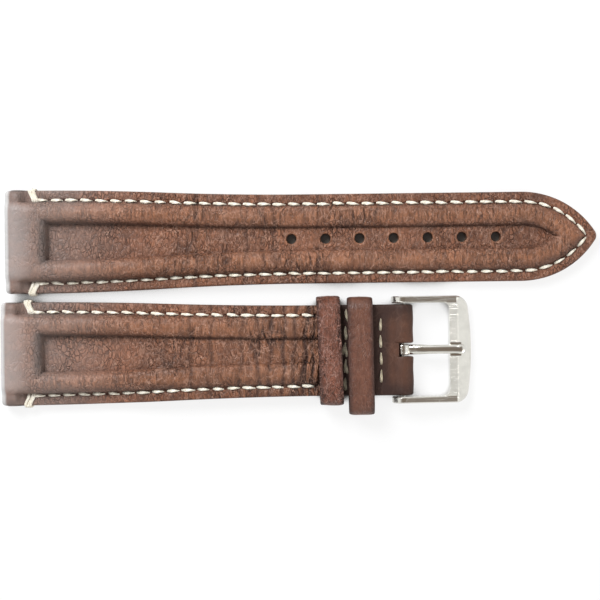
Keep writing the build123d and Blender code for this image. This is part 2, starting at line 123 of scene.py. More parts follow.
def channel(inset: Array, seam: float) -> Array:
    """Depth of the groove for the stitches below: full depth times exp(-((d - s) / 0.45)⁴)."""
    return STITCH_DEPTH * np.exp(-(((inset - seam) / 0.45) ** 4))


def full_turn(count: int) -> Array:
    """Angles of a whole turn in even steps."""
    return np.linspace(0.0, 2.0 * math.pi, count, endpoint=False)


def squared(angle: Array, power: float) -> list[Array]:
    """Cosine and sine with their sizes raised to a power: a superellipse round an axis."""
    return [np.sign(part) * np.abs(part) ** power for part in (np.cos(angle), np.sin(angle))]


def stacked(x: Array, y: Array, z: Array) -> Array:
    """Points from three coordinates of any shapes that broadcast together."""
    return np.stack(np.broadcast_arrays(x, y, z), axis=-1).astype(float)


def runs(*spans: tuple[float, float, int]) -> Array:
    """Rising stations from (start, end, steps) spans that follow each other."""
    parts = [np.linspace(start, end, steps, endpoint=False) for start, end, steps in spans]
    return np.concatenate([*parts, [spans[-1][1]]])


def cells(rows: int, columns: int, wrap_rows: bool, wrap_columns: bool) -> tuple[Array, Array]:
    """Quads of a grid of points.

    Args:
        rows: number of rows of points.
        columns: number of points in a row.
        wrap_rows: whether the last row meets the first again.
        wrap_columns: whether each row closes on itself.

    Returns:
        Corner indices (n, 4) and corner coordinates (n, 4, 2) running 0 to 1.
    """
    i = np.arange(rows if wrap_rows else rows - 1)[:, None]
    j = np.arange(columns if wrap_columns else columns - 1)[None, :]
    below, right = (i + 1) % rows, (j + 1) % columns
    parts = [i * columns + j, below * columns + j, below * columns + right, i * columns + right]
    quads = np.stack(np.broadcast_arrays(*parts), axis=-1).reshape(-1, 4)
    corners = [(i, j), (i + 1, j), (i + 1, j + 1), (i, j + 1)]
    uvs = [
        np.stack(np.broadcast_arrays(a / rows, b / columns), axis=-1).reshape(-1, 2)
        for a, b in corners
    ]
    return quads, np.stack(uvs, axis=1)


class Shell:
    """A mesh gathered from whole-array grids of points in millimetres.

    Points of one part that coincide are joined, so poles and seams close. Parts stay
    apart from each other, each closed by itself.
    """

    def __init__(self, *names: str) -> None:
        """Start an empty shell whose points carry the named values.

        Args:
            names: names of the values.
        """
        self.names = names
        self.points: list[Array] = []
        self.parts: list[Array] = []
        self.faces: list[Array] = []
        self.uvs: list[Array] = []
        self.values: dict[str, list[Array]] = {name: [] for name in names}
        self.count = 0
        self.part = 0

    def next_part(self) -> None:
        """Keep what follows apart from what came before."""
        self.part += 1

    def grid(
        self,
        points: Array,
        wrap_rows: bool = False,
        wrap_columns: bool = False,
        keep: Array | None = None,
        **values: Array,
    ) -> None:
        """Add a grid (rows, columns, 3), or a stack of such grids.

        Args:
            points: the points, in millimetres.
            wrap_rows: whether the last row meets the first again.
            wrap_columns: whether each row closes on itself.
            keep: which quads stay, (rows - 1, columns - 1).
            **values: one array for each of the shell's named values.
        """
        stack = points[None] if points.ndim == 3 else points
        batch, rows, columns, _ = stack.shape
        quads, uvs = cells(rows, columns, wrap_rows, wrap_columns)
        if keep is not None:
            quads, uvs = quads[keep.ravel()], uvs[keep.ravel()]
        shifts = self.count + np.arange(batch)[:, None, None] * rows * columns
        self.faces.append((quads + shifts).reshape(-1, 4))
        self.uvs.append(np.tile(uvs, (batch, 1, 1)))
        self.points.append(stack.reshape(-1, 3))
        self.parts.append(np.full(batch * rows * columns, self.part))
        for name in self.names:
            value = np.broadcast_to(values.get(name, 0.0), (batch, rows, columns))
            self.values[name].append(value.reshape(-1))
        self.count += batch * rows * columns

    def mesh(self, name: str, origin: tuple[float, float], sharp: float) -> bpy.types.Mesh:
        """Write the mesh in metres at a half's origin.

        Args:
            name: the mesh's name.
            origin: the half's origin in the shared frame, in millimetres.
            sharp: angle in degrees from which an edge is shown sharp.

        Returns:
            The mesh, smooth, with its values and corner coordinates.
        """
        points = np.concatenate(self.points)
        keys = np.column_stack(
            [np.concatenate(self.parts), np.round(points * 1e4).astype(np.int64)]
        )
        _, first, inverse = np.unique(keys, axis=0, return_index=True, return_inverse=True)
        quads = inverse.ravel()[np.concatenate(self.faces)]
        uvs = np.concatenate(self.uvs)
        repeat = quads == np.roll(quads, -1, axis=1)
        corners = 4 - repeat.sum(axis=1)
        four, three = corners == 4, corners == 3
        loops = np.concatenate([quads[four].ravel(), quads[three][~repeat[three]]])
        loop_uvs = np.concatenate([uvs[four].reshape(-1, 2), uvs[three][~repeat[three]]])
        sizes = np.concatenate([np.full(four.sum(), 4), np.full(three.sum(), 3)])
        mesh = bpy.data.meshes.new(name)
        mesh.vertices.add(len(first))
        shift = np.array([origin[0], origin[1], 0.0])
        mesh.vertices.foreach_set("co", ((points[first] + shift) * MM).ravel())
        mesh.loops.add(len(loops))
        mesh.loops.foreach_set("vertex_index", loops.astype(np.int32))
        mesh.polygons.add(len(sizes))
        starts = np.concatenate([[0], np.cumsum(sizes)[:-1]])
        mesh.polygons.foreach_set("loop_start", starts.astype(np.int32))
        mesh.update(calc_edges=True)
        mesh.uv_layers.new(name="UVMap").data.foreach_set("uv", loop_uvs.ravel())
        for value in self.names:
            layer = mesh.attributes.new(value, "FLOAT", "POINT")
            layer.data.foreach_set("value", np.concatenate(self.values[value])[first])
        turned = bmesh.new()
        turned.from_mesh(mesh)
        bmesh.ops.recalc_face_normals(turned, faces=turned.faces)
        turned.to_mesh(mesh)
        turned.free()
        mesh.shade_smooth()
        mesh.set_sharp_from_angle(angle=math.radians(sharp))
        return mesh

    def place(
        self, kind: Kind, half: "Half", finish: bpy.types.Material, *nodes: str,
        body: Body | None = None,
    ) -> bpy.types.Object:
        """Put the shell in the scene for the CAD nodes that it stands for.

        Args:
            kind: what kind of piece it is.
            half: the strap half whose frame it is drawn in.
            finish: its Blender material.
            *nodes: the CAD nodes that it replaces, the first of which names it.
            body: the body that it rides on, where that isn't the half's.

        Returns:
            The new object, at the origin.
        """
        word, slot, sharp = kind.value
        mesh = self.mesh(f"{nodes[0]}_{word}", half.origin, sharp)
        mesh.materials.append(finish)
        piece = bpy.data.objects.new(mesh.name, mesh)
        bpy.context.scene.collection.objects.link(piece)
        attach(piece, (body or half.body).value)
        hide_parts(*nodes)
        log.info("%s: %d faces, replaces %s", mesh.name, len(mesh.polygons), ", ".join(nodes))
        return piece


# ---------------------------------------------------------------- shader graph


def srgb(red: int, green: int, blue: int) -> Colour:
    """A display colour of 0 to 255 as linear light.

    Args:
        red, green, blue: the display colour, 0 to 255 each.

    Returns:
        The same colour as linear light, 0 to 1.
    """
    parts = np.array([red, green, blue]) / 255.0
    light = np.where(parts <= 0.04045, parts / 12.92, ((parts + 0.055) / 1.055) ** 2.4)
    return tuple(float(part) for part in light)


# Painted reflections: a grey glossy haze near the lug ends and a pale shine on their rolled edges
REFLECTED_GREY = srgb(124, 113, 107)
SHINING_EDGE = srgb(194, 192, 191)
# Painted shade inside the needle holes
NEEDLE_HOLE_SHADE = srgb(44, 27, 22)


class Signal:
    """A value or vector in a shader graph; arithmetic on it adds Math nodes."""

    def __init__(self, graph: "Graph", socket: bpy.types.NodeSocket) -> None:
        """Hold one output socket of the graph."""
        self.graph = graph
        self.socket = socket

    def __add__(self, other: "Signal | float") -> "Signal":
        """Add a signal or a number."""
        return self.graph.math("ADD", self, other)

    def __radd__(self, other: float) -> "Signal":
        """Add this signal to a number."""
        return self.graph.math("ADD", other, self)

    def __sub__(self, other: "Signal | float") -> "Signal":
        """Take a signal or a number away."""
        return self.graph.math("SUBTRACT", self, other)

    def __rsub__(self, other: float) -> "Signal":
        """Take this signal away from a number."""
        return self.graph.math("SUBTRACT", other, self)

    def __mul__(self, other: "Signal | float") -> "Signal":
        """Multiply by a signal or a number."""
        return self.graph.math("MULTIPLY", self, other)

    def step(self, low: float, high: float) -> "Signal":
        """Smooth step from 0 at low to 1 at high."""
        sockets = {"Value": self, "From Min": low, "From Max": high}
        return self.graph.signal("MapRange", sockets, interpolation_type="SMOOTHSTEP")

    def bell(self, middle: float, width: float) -> "Signal":
        """Bump of height 1 at middle that has fallen to 0 at width from it."""
        return self.graph.math("ABSOLUTE", self - middle).step(width, 0.0)


class Graph:
    """A procedural material or world under construction."""

    def __init__(self, name: str, world: bool = False) -> None:
        """Start an empty material or world.

        Args:
            name: name of the material or world.
            world: whether it is a world.
        """
        self.owner = (bpy.data.worlds if world else bpy.data.materials).new(name)
        self.owner.use_nodes = True
        self.tree = self.owner.node_tree
        self.tree.nodes.clear()

    def node(self, kind: str, sockets: dict | None = None, **settings) -> bpy.types.Node:
        """Add a node: its settings first, then its input sockets by name or number.

        Args:
            kind: type of the node without its prefix.
            sockets: values or links of its inputs, by name or number.
            settings: properties that are set before the inputs.

        Returns:
            The new node.
        """
        made = self.tree.nodes.new(f"ShaderNode{kind}")
        for key, value in settings.items():
            setattr(made, key, value)
        for key, value in (sockets or {}).items():
            if isinstance(value, Signal):
                self.tree.links.new(value.socket, made.inputs[key])
            else:
                made.inputs[key].default_value = value
        return made

    def signal(
        self, kind: str, sockets: dict | None = None, output: int | str = 0, **settings
    ) -> Signal:
        """Add a node and take one of its outputs, by number or name."""
        return Signal(self, self.node(kind, sockets, **settings).outputs[output])

    def math(self, operation: str, *values: Signal | float) -> Signal:
        """A Math node of the values in their order."""
        return self.signal("Math", dict(enumerate(values)), operation=operation)

    def vector(self, operation: str, sockets: dict) -> Signal:
        """A Vector Math node."""
        return self.signal("VectorMath", sockets, operation=operation)

    def mix(self, factor: Signal, low: Signal | Colour, high: Signal | Colour) -> Signal:
        """Two colours mixed by a factor."""
        low, high = (part if isinstance(part, Signal) else (*part, 1.0) for part in (low, high))
        return self.signal("Mix", {0: factor, 6: low, 7: high}, 2, data_type="RGBA")

    def blend(self, factor: Signal, low: Signal, high: Signal) -> Signal:
        """Two surfaces or lights mixed by a factor."""
        return self.signal("MixShader", {0: factor, 1: low, 2: high})

    def ray(self, name: str) -> Signal:
        """Whether the ray is of the named kind."""
        return self.signal("LightPath", output=name)

    def place(
        self, stretch: Colour = (1.0, 1.0, 1.0), amount: float = 0.0, scale: float = 1.0
    ) -> Signal:
        """Object coordinates in millimetres.

        Args:
            stretch: factors along the axes.
            amount: how far coloured noise moves them about, 0 for not at all.
            scale: scale of that noise.

        Returns:
            The coordinates as one vector signal.
        """
        spot = self.signal("TexCoord", output="Object")
        spot = self.vector("MULTIPLY", {0: spot, 1: tuple(part / MM for part in stretch)})
        if amount == 0.0:
            return spot
        sockets = {"Vector": spot, "Scale": scale, "Detail": 2.0}
        noise = self.signal("TexNoise", sockets, "Color")
        centred = self.vector("SUBTRACT", {0: noise, 1: (0.5, 0.5, 0.5)})
        moved = self.vector("SCALE", {0: centred, "Scale": amount})
        return self.vector("ADD", {0: spot, 1: moved})

    def noise(
        self, vector: Signal, scale: float, detail: float = 3.0, rough: float = 0.5
    ) -> Signal:
        """Noise about 0.5."""
        sockets = {"Vector": vector, "Scale": scale, "Detail": detail, "Roughness": rough}
        return self.signal("TexNoise", sockets)

    def cracks(self, vector: Signal, scale: float) -> Signal:
        """Distance to the borders of irregular cells."""
        sockets = {"Vector": vector, "Scale": scale}
        return self.signal("TexVoronoi", sockets, feature="DISTANCE_TO_EDGE")

    def value(self, name: str) -> Signal:
        """A named value of the mesh's points, 0 where the mesh hasn't got it."""
        return self.signal("Attribute", output="Fac", attribute_name=name)

    def bump(self, height: Signal, depth: float, under: Signal | None = None) -> Signal:
        """A bump whose height of 1 is depth millimetres, on top of another if given.

        Args:
            height: height signal of 0 to 1.
            depth: millimetres for a height of 1.
            under: normal of the bump below it, if any.

        Returns:
            The new normal.
        """
        sockets = {"Strength": 1.0, "Distance": depth * MM, "Height": height}
        if under is not None:
            sockets["Normal"] = under
        return self.signal("Bump", sockets)

    def end(self, kind: str, surface: Signal) -> bpy.types.ID:
        """Close the graph of a Material or World with what it shows."""
        self.node(f"Output{kind}", {"Surface": surface})
        return self.owner

    def finish(self, sockets: dict) -> bpy.types.Material:
        """Close a material with one principled surface."""
        return self.end("Material", self.signal("BsdfPrincipled", sockets))


@dataclass(frozen=True)
class Leather:
    """A leather finish: dye, wear, grain and gloss, with painted highlights and shade."""

    name: str
    mid: Colour
    # colour of the crests: partly wear, partly a painted highlight
    highlight_and_wear: Colour
    dark: Colour
    roughness: float = 0.46
    grain: float = 1.35
    grain_depth: float = 0.13
    crackle: float = 0.5
    crease_depth: float = 0.16
    contrast: float = 1.0
    glint: float = 0.15
    holes: bool = False

    def material(self) -> bpy.types.Material:
        """Build the material.

        Colour runs from dark, as painted shade in the hollows and as the dark paint of
        the edge, over the dyed mid tone to the crest's colour, which is partly wear and
        partly a painted highlight. A net of wrinkles in two sizes, fine ribs across the
        padded ridges, light crackle lines and cross creases give the bump; each darkens
        its valleys as painted shade, and light flecks, glint lines and the crackle lines
        are painted lighter as highlights. The sheen paints a grey reflection near the lug
        ends and a pale shine on their rolled edges. Where holes is set, the needle holes
        of the seam are sunk and painted dark as shade. Calm leather has almost no wrinkles.

        Returns:
            The material.
        """
        g = Graph(self.name)
        spot, plain = g.place(), (1.0, 1.0, 1.0)
        crest, crevice, crease = g.value("crest"), g.value("crevice"), g.value("crease")
        sheen = g.value("sheen")
        quiet = 1.0 - g.value("calm") * 0.85
        lively = quiet * self.contrast
        mottle = g.noise(spot, 0.11, 4.0, 0.6)
        cloud = g.noise(g.place(plain, 2.0, 0.2), 0.45, 5.0, 0.65)
        speck = g.noise(spot, 3.0, 3.0, 0.7)
        uneven = (0.45 + g.noise(spot, 0.22, 3.0, 0.6).step(0.4, 0.62) * 0.75) * lively
        net = g.cracks(g.place((1.0, 0.6, 1.0), 1.5, 0.6), self.grain).step(0.17, 0.0)
        fine = g.noise(g.place((2.5, 0.9, 1.2), 0.7, 0.8), 1.0, 3.0, 0.6)
        # Thin glint lines on the wrinkles, painted as highlights in the pale colour
        bright = g.cracks(g.place((1.25, 0.42, 1.0), 1.1, 0.9), 1.0).step(0.05, 0.0)
        bright = bright * g.noise(spot, 0.8, 2.0).step(0.46, 0.6)
        across = g.noise(g.place((1.9, 0.3, 0.6), 0.6, 0.5), 1.0, 3.0, 0.6)
        ribs = across.step(0.56, 0.42) * crest
        stretched = g.place((0.5, 0.14, 0.3), 0.9, 0.5)
        fold = g.math("ABSOLUTE", g.noise(stretched, 1.0, 1.5, 0.5) - 0.5).step(0.07, 0.0)
        folds = fold * crease * g.noise(spot, 0.19, 2.0).step(0.42, 0.6)
        lines = g.cracks(g.place(plain, 2.2, 0.45), 0.42).step(0.055, 0.0)
        veins = g.cracks(g.place((1.0, 0.38, 1.0), 1.6, 0.8), 0.75).step(0.06, 0.0)
        patch = g.noise(spot, 0.16, 2.0).step(0.46, 0.62)
        strewn = g.noise(g.place(plain, 3.0, 0.3), 0.5, 2.0).step(0.44, 0.57)
        # Crackle lines of the grain, painted lighter as highlights
        crackle_and_highlight = lines * (0.2 + patch * 0.6) + veins * strewn * (0.25 + crease * 0.75)
        crackle_and_highlight = crackle_and_highlight * quiet * self.crackle
        # The wrinkles' valleys, which take painted shade
        valley = (net * (1.0 - crest * 0.6) + ribs * 0.8) * uneven
        colour = g.mix((mottle - 0.5) * 1.7 + 0.64 + (cloud - 0.5) * 1.1, self.dark, self.mid)
        # The crest's colour: partly wear, partly a painted highlight
        colour = g.mix(crest * (0.05 + cloud * 0.65), colour, self.highlight_and_wear)
        # The painted highlight colour: the crest's colour made lighter and greyer
        pale = tuple(min(1.0, part * 0.82 + self.glint) for part in self.highlight_and_wear)
        # Light flecks on the grain's ridges: painted highlights
        light = fine.step(0.5, 0.68) * 0.26 + speck.step(0.52, 0.7) * 0.16
        # Layers in turn: painted highlight flecks, painted shade in the valleys and grain, painted
        # glint lines, the dark mask (painted shade with the edge's paint and the tail's dark tone),
        # painted shade in the creases, crackle lines painted lighter, and the sheen's painted grey
        # reflection and shine
        layers = [
            (light * (1.0 - valley) * lively, pale),
            (valley * 0.5 + fine.step(0.5, 0.34) * lively * 0.2, self.dark),
            (speck.step(0.5, 0.3) * lively * 0.15, self.dark),
            (bright * uneven * 0.95, pale),
            (crevice * 0.85, self.dark),
            (folds * 0.5, self.dark),
            (crackle_and_highlight * 0.55, pale),
            # Painted reflection: grey haze near the lug ends, then the pale shine
            (sheen.step(0.0, 0.1) * 0.32, REFLECTED_GREY),
            (sheen, SHINING_EDGE),
        ]
        for factor, tone in layers:
            colour = g.mix(factor, colour, tone)
        height = cloud * 0.7 - valley * 1.15 + fine * lively * 0.65 + speck * lively * 0.25
        height = height + (bright * uneven + crackle_and_highlight) * 0.5
        # Needle holes: sunk by the bump and darkened as painted shade
        if self.holes:
            row, inset = g.value("row"), g.value("inset")
            place = g.math("ABSOLUTE", g.math("FRACT", row + 0.5) - 0.5)
            hole = place.step(0.14, 0.04) * inset.bell(Half.seam, 0.36)
            colour = g.mix(hole * 0.55, colour, NEEDLE_HOLE_SHADE)
            height = height - hole * 2.0
        grain = g.bump(height, self.grain_depth)
        normal = g.bump(0.0 - folds, self.crease_depth, grain)
        gloss = self.roughness + (mottle - 0.5) * 0.25 - crest * 0.05 + crevice * 0.15
        return g.finish({
            "Base Color": colour,
            "Roughness": gloss,
            "Specular IOR Level": 0.33,
            "Coat Weight": 0.03,
            "Coat Roughness": 0.3,
            "Normal": normal,
        })


@dataclass(frozen=True)
class Thread:
    """A waxed, twisted sewing thread."""

    name: str
    light: Colour
    shade: Colour
    turns: float = 3.0

    def material(self) -> bpy.types.Material:
        """Build the material: slanted plies from the corner coordinates, painted shade between
        them, fuzz and dirt.

        Returns:
            The material.
        """
        g = Graph(self.name)
        corner = g.signal("UVMap", uv_map="UVMap")
        along, round_it = (g.signal("SeparateXYZ", {"Vector": corner}, part) for part in "XY")
        ply = g.math("SINE", (along * self.turns + round_it * 2.0) * (2.0 * math.pi))
        spot = g.place()
        fuzz = g.noise(spot, 6.0, 4.0, 0.7)
        dirt = g.noise(spot, 0.35, 3.0)
        # Painted shade between the plies; the same darker colour then serves as dirt
        colour = g.mix(ply * 0.25 + 0.3 + (fuzz - 0.5) * 0.9, self.light, self.shade)
        colour = g.mix(dirt.step(0.52, 0.75) * 0.4, colour, self.shade)
        return g.finish({
            "Base Color": colour,
            "Roughness": 0.55 + (fuzz - 0.5) * 0.3,
            "Sheen Weight": 0.25,
            "Sheen Roughness": 0.4,
            "Normal": g.bump(ply * 0.6 + fuzz * 0.8, 0.06),
        })


@dataclass(frozen=True)
class Steel:
    """A steel finish with drawn or polishing marks."""

    name: str
    colour: Colour
    roughness: float
    stretch: Colour
    marks: float

    def material(self) -> bpy.types.Material:
        """Build the material: metal whose gloss and height vary with stretched noise.

        Returns:
            The material.
        """
        g = Graph(self.name)
        streak = g.noise(g.place(self.stretch), 1.0, 4.0, 0.6)
        haze = g.noise(g.place(), 0.35, 3.0)
        scratch = g.cracks(g.place(self.stretch, 1.5, 0.4), 0.5).step(0.03, 0.0)
        dull = tuple(part * 0.82 for part in self.colour)
        return g.finish({
            "Base Color": g.mix(haze.step(0.35, 0.7) * 0.6 + scratch * 0.2, self.colour, dull),
            "Metallic": 1.0,
            "Roughness": self.roughness + (streak - 0.5) * 0.12 + scratch * 0.08,
            "Normal": g.bump(streak + scratch * 0.5, self.marks),
        })


# ---------------------------------------------------------------- the two halves


@dataclass(frozen=True)
class Half:
    """Sizes of one strap half and the heights of its leather.

    narrowing is what the full width loses over the taper, from half width lug on. The
    stitched border is border high, the flange at the lug end crown. The padded ridge
    is ridge_width wide from inset ridge_foot on; its height falls from plateau to
    fall_height at fall_end. edge is the rounding of the rim, recess the X of the sunk
    field's end wall, seam the stitches' inset, lift how far the far part is raised.
    """

    body: Body
    origin: tuple[float, float]
    length: float
    narrowing: float
    taper_start: float
    taper_end: float
    fall_end: float
    fall_height: float
    lift: float
    seed: int
    lug: float = 10.0
    border: float = 2.3
    plateau: float = 4.8
    crown: float = 4.1
    edge: float = 0.42
    ridge_foot: float = 2.3
    ridge_width: float = 4.2
    recess: float = 8.3
    seam: float = 1.95
    seam_start: float = 5.8
    stitch_pitch: float = 2.9
    lining: float = 0.9
    # creases across the strap: place, slant, depth and width
    creases: tuple[tuple[float, ...], ...] = (
        (27.5, -0.02, 0.05, 0.5),
        (37.0, 0.01, 0.15, 0.42),
        (39.2, -0.03, 0.06, 0.4),
        (46.6, 0.02, 0.13, 0.38),
        (49.9, 0.04, 0.1, 0.38),
        (52.3, -0.02, 0.09, 0.4),
        (60.4, 0.03, 0.09, 0.4),
        (67.0, -0.03, 0.05, 0.5),
        (84.6, 0.02, 0.08, 0.45),
    )

    @property
    def end_half_width(self) -> float:
        """Half the width beyond the taper."""
        return self.lug - self.narrowing / 2.0

    @property
    def ridge_middle(self) -> float:
        """Inset of the raised border's crest."""
        return self.ridge_foot + self.ridge_width / 2.0

    def half_width(self, x: Array) -> Array:
        """Half the width: the lug's half width less a double arc of the narrowing."""
        run = self.taper_end - self.taper_start
        return self.lug - self.narrowing / 2.0 * double_arc((x - self.taper_start) / run)

    def side_slope(self, x: Array) -> Array:
        """Rise of the +Y edge along X."""
        return (self.half_width(x + 0.1) - self.half_width(x - 0.1)) / 0.2

    def flange_drop(self, inset: Array) -> Array:
        """How far the flange at the lug end is rounded down."""
        return 0.8 * rim(inset, 1.5)

    def holes(self) -> list[float]:
        """X of the adjustment holes."""
        return []

    def raised(self, x: Array) -> Array:
        """Height of the underside: a double arc between X 18 and X 35."""
        return self.lift * double_arc((x - 18.0) / 17.0)

    def ridge_end(self, x: Array) -> Array:
        """Share of the raised border left along X, 1 all the way on a tip half."""
        return np.ones_like(x)

    def wobble(self, x: Array, y: Array) -> Array:
        """Slow unevenness of the leather: three slanted sine waves of about 0.03 mm.

        Args:
            x: distances from the lug end in millimetres.
            y: distances from the centreline in millimetres.

        Returns:
            Height to add at each point.
        """
        phase = self.seed * 1.7
        waves = np.sin(0.31 * x + 0.22 * y + phase) + np.sin(0.53 * x - 0.61 * y + 2.0 * phase)
        return 0.022 * waves + 0.015 * np.sin(1.1 * x + 0.9 * y + 3.1 * phase)

    def top(self, x: Array, y: Array, inset: Array) -> Array:
        """Height of the upper side.

        The stitched border lies at its own height and swells to the crown at the lug
        end. The padded ridge stands on it as a superellipse hump over the inset, and
        at the lug end it closes across the strap, ending in the recess's end wall.

        Args:
            x: distances from the lug end in millimetres.
            y: distances from the centreline in millimetres.
            inset: distances inwards from the outline in millimetres.

        Returns:
            Heights over the table.
        """
        base = self.border + self.raised(x)
        swelling = self.crown - self.border - self.flange_drop(inset)
        base = base + swelling * (1.0 - double_arc((x - 2.1) / 2.7))
        fall = double_arc((x - self.recess) / (self.fall_end - self.recess))
        high = self.plateau + (self.fall_height - self.plateau) * fall
        middle, reach = self.ridge_middle, self.ridge_width / 2.0
        outer = dome((inset - self.ridge_foot) / reach)
        inner = dome((self.ridge_foot + self.ridge_width - inset) / reach)
        inner = np.where(inset < middle, 1.0, inner)
        lug_wall = dome((self.recess - x) / 2.1, 2.2)
        hump = outer * np.maximum(inner, lug_wall) * self.ridge_end(x)
        swell = 0.12 * hump * ramp(x, 6.0, 4.0)
        crease = self.folds(x, y) * (0.4 + 0.6 * hump)
        height = base + (high - base) * hump + swell + self.wobble(x, y) * (0.4 + hump)
        height = height - 0.12 * bell(inset, self.seam, 0.34) * ramp(x, 4.9, 0.8)
        return height - crease - rim(inset, self.edge)

    def folds(self, x: Array, y: Array) -> Array:
        """Depth of the bending creases: narrow bells along slightly bent lines across.

        Args:
            x: distances from the lug end in millimetres.
            y: distances from the centreline in millimetres.

        Returns:
            Depth at each point in millimetres.
        """
        depth = np.zeros(np.broadcast(x, y).shape)
        for place, slant, deep, wide in self.creases:
            bend = place + slant * y + 0.25 * np.sin(0.8 * y + place)
            depth = depth + deep * bell(x - bend, 0.0, wide)
        return depth

    def values(self, x: Array, y: Array, inset: Array) -> dict[str, Array]:
        """Values for the material: the crest's wear and painted highlight, painted shade in
        hollows and creases, the edge's dark paint, creasing and the painted sheen.

        Args:
            x: distances from the lug end in millimetres.
            y: distances from the centreline in millimetres.
            inset: distances inwards from the outline in millimetres.

        Returns:
            Each value's name and its array.
        """
        border = ramp(x, 7.0, 3.0)
        # The ridge's crest: partly wear, partly a painted highlight on its top
        crest = bell(inset, self.ridge_middle, 1.4) * (0.3 + 0.7 * border)
        foot, inner_foot = self.ridge_foot, self.ridge_foot + self.ridge_width
        far_side, near_side = y > 0.0, y < 0.0
        # Painted shade at the ridge's feet, darker at the far ridge's inner foot, above the near
        # stitches, at the recess's end wall, over the lug flange and in the creases; the band at
        # the edge is the edge's dark paint
        crevice = sum([
            0.4 * bell(inset, foot, 0.25) * ramp(x, 4.6, 1.0),
            (0.12 + 0.68 * far_side) * bell(inset, inner_foot - 0.1, 0.35) * border,
            0.35 * near_side * bell(inset, foot + 0.5, 0.9) * border,
            0.95 * bell(x, self.recess - 0.7, 1.0) * ramp(inset, 5.2, 1.0),
            0.3 * smooth(1.0 - inset / 0.4),
            0.4 * ramp(x, 5.4, -1.6) * ramp(inset, 3.0, -1.2),
            3.9 * self.folds(x, y),
        ])
        # Painted highlights on the lit side of each crease
        crest = crest + 4.2 * (self.folds(x - 0.75, y) + 0.6 * self.folds(x + 0.7, y))
        crease = ramp(x, 20.0, 14.0) * ramp(x, 112.0, -45.0)
        # Painted sheen: a grey reflection over the lug end's plateau and the first 30 mm, and a
        # pale shine on the rolled end
        plateau = 0.33 * ramp(x, 8.2, -6.6) * ramp(inset, 1.7, 1.8)
        sheen = np.maximum(0.1 * ramp(x, 32.0, -30.0), plateau)
        sheen = np.maximum(sheen, 0.96 * ramp(x, 1.5, -0.9))
        return {
            "crest": np.clip(crest, 0.0, 1.0),
            "crevice": np.clip(crevice, 0.0, 1.0),
            "crease": crease,
            "sheen": sheen,
            "inset": inset,
            "calm": 0.8 * ramp(x, 7.5, -4.0),
        }


@dataclass(frozen=True)
class TipHalf(Half):
    """The half with the holes: round sides of one radius meet in a small round nose."""

    side_radius: float = 17.0
    nose_radius: float = 1.5
    hole_radius: float = 0.95
    hole_pitch: float = 6.6
    last_hole: float = 95.0
    hole_count: int = 7

    @property
    def drop(self) -> float:
        """How far the side arc's centre lies beyond the centreline."""
        return self.side_radius - self.end_half_width

    @property
    def turn(self) -> float:
        """X where the straight side becomes the side arc."""
        reach = self.side_radius - self.nose_radius
        return self.length - self.nose_radius - math.sqrt(reach**2 - self.drop**2)

    def seam_point(self, along: Array) -> tuple[Array, Array, Array]:
        """Seam position on the +Y side: along X, then round the side arc.

        Args:
            along: distances along the seam in millimetres.

        Returns:
            X, Y and the heading in radians, 0 along X.
        """
        radius = self.side_radius - self.seam
        angle = np.clip((along - self.turn) / radius, 0.0, None)
        x = np.minimum(along, self.turn) + radius * np.sin(angle)
        straight = self.half_width(np.minimum(along, self.turn)) - self.seam
        y = straight - radius * (1.0 - np.cos(angle))
        return x, y, np.where(angle > 0.0, -angle, np.arctan(self.side_slope(along)))

    def seam_places(self) -> Array:
        """Middles of the stitches along the seam, in even pitches to the nose.

        Returns:
            Distances along the seam in millimetres.
        """
        radius = self.side_radius - self.seam
        end = self.turn + radius * math.acos(self.drop / radius)
        count = round((end - self.seam_start) / self.stitch_pitch)
        return self.seam_start + (end - self.seam_start) * (np.arange(count) + 0.5) / count

    def pitch(self) -> float:
        """Distance from stitch to stitch."""
        places = self.seam_places()
        return float(places[1] - places[0])

    def holes(self) -> list[float]:
        """X of the adjustment holes, from the last one back."""
        return [self.last_hole - self.hole_pitch * step for step in range(self.hole_count)]


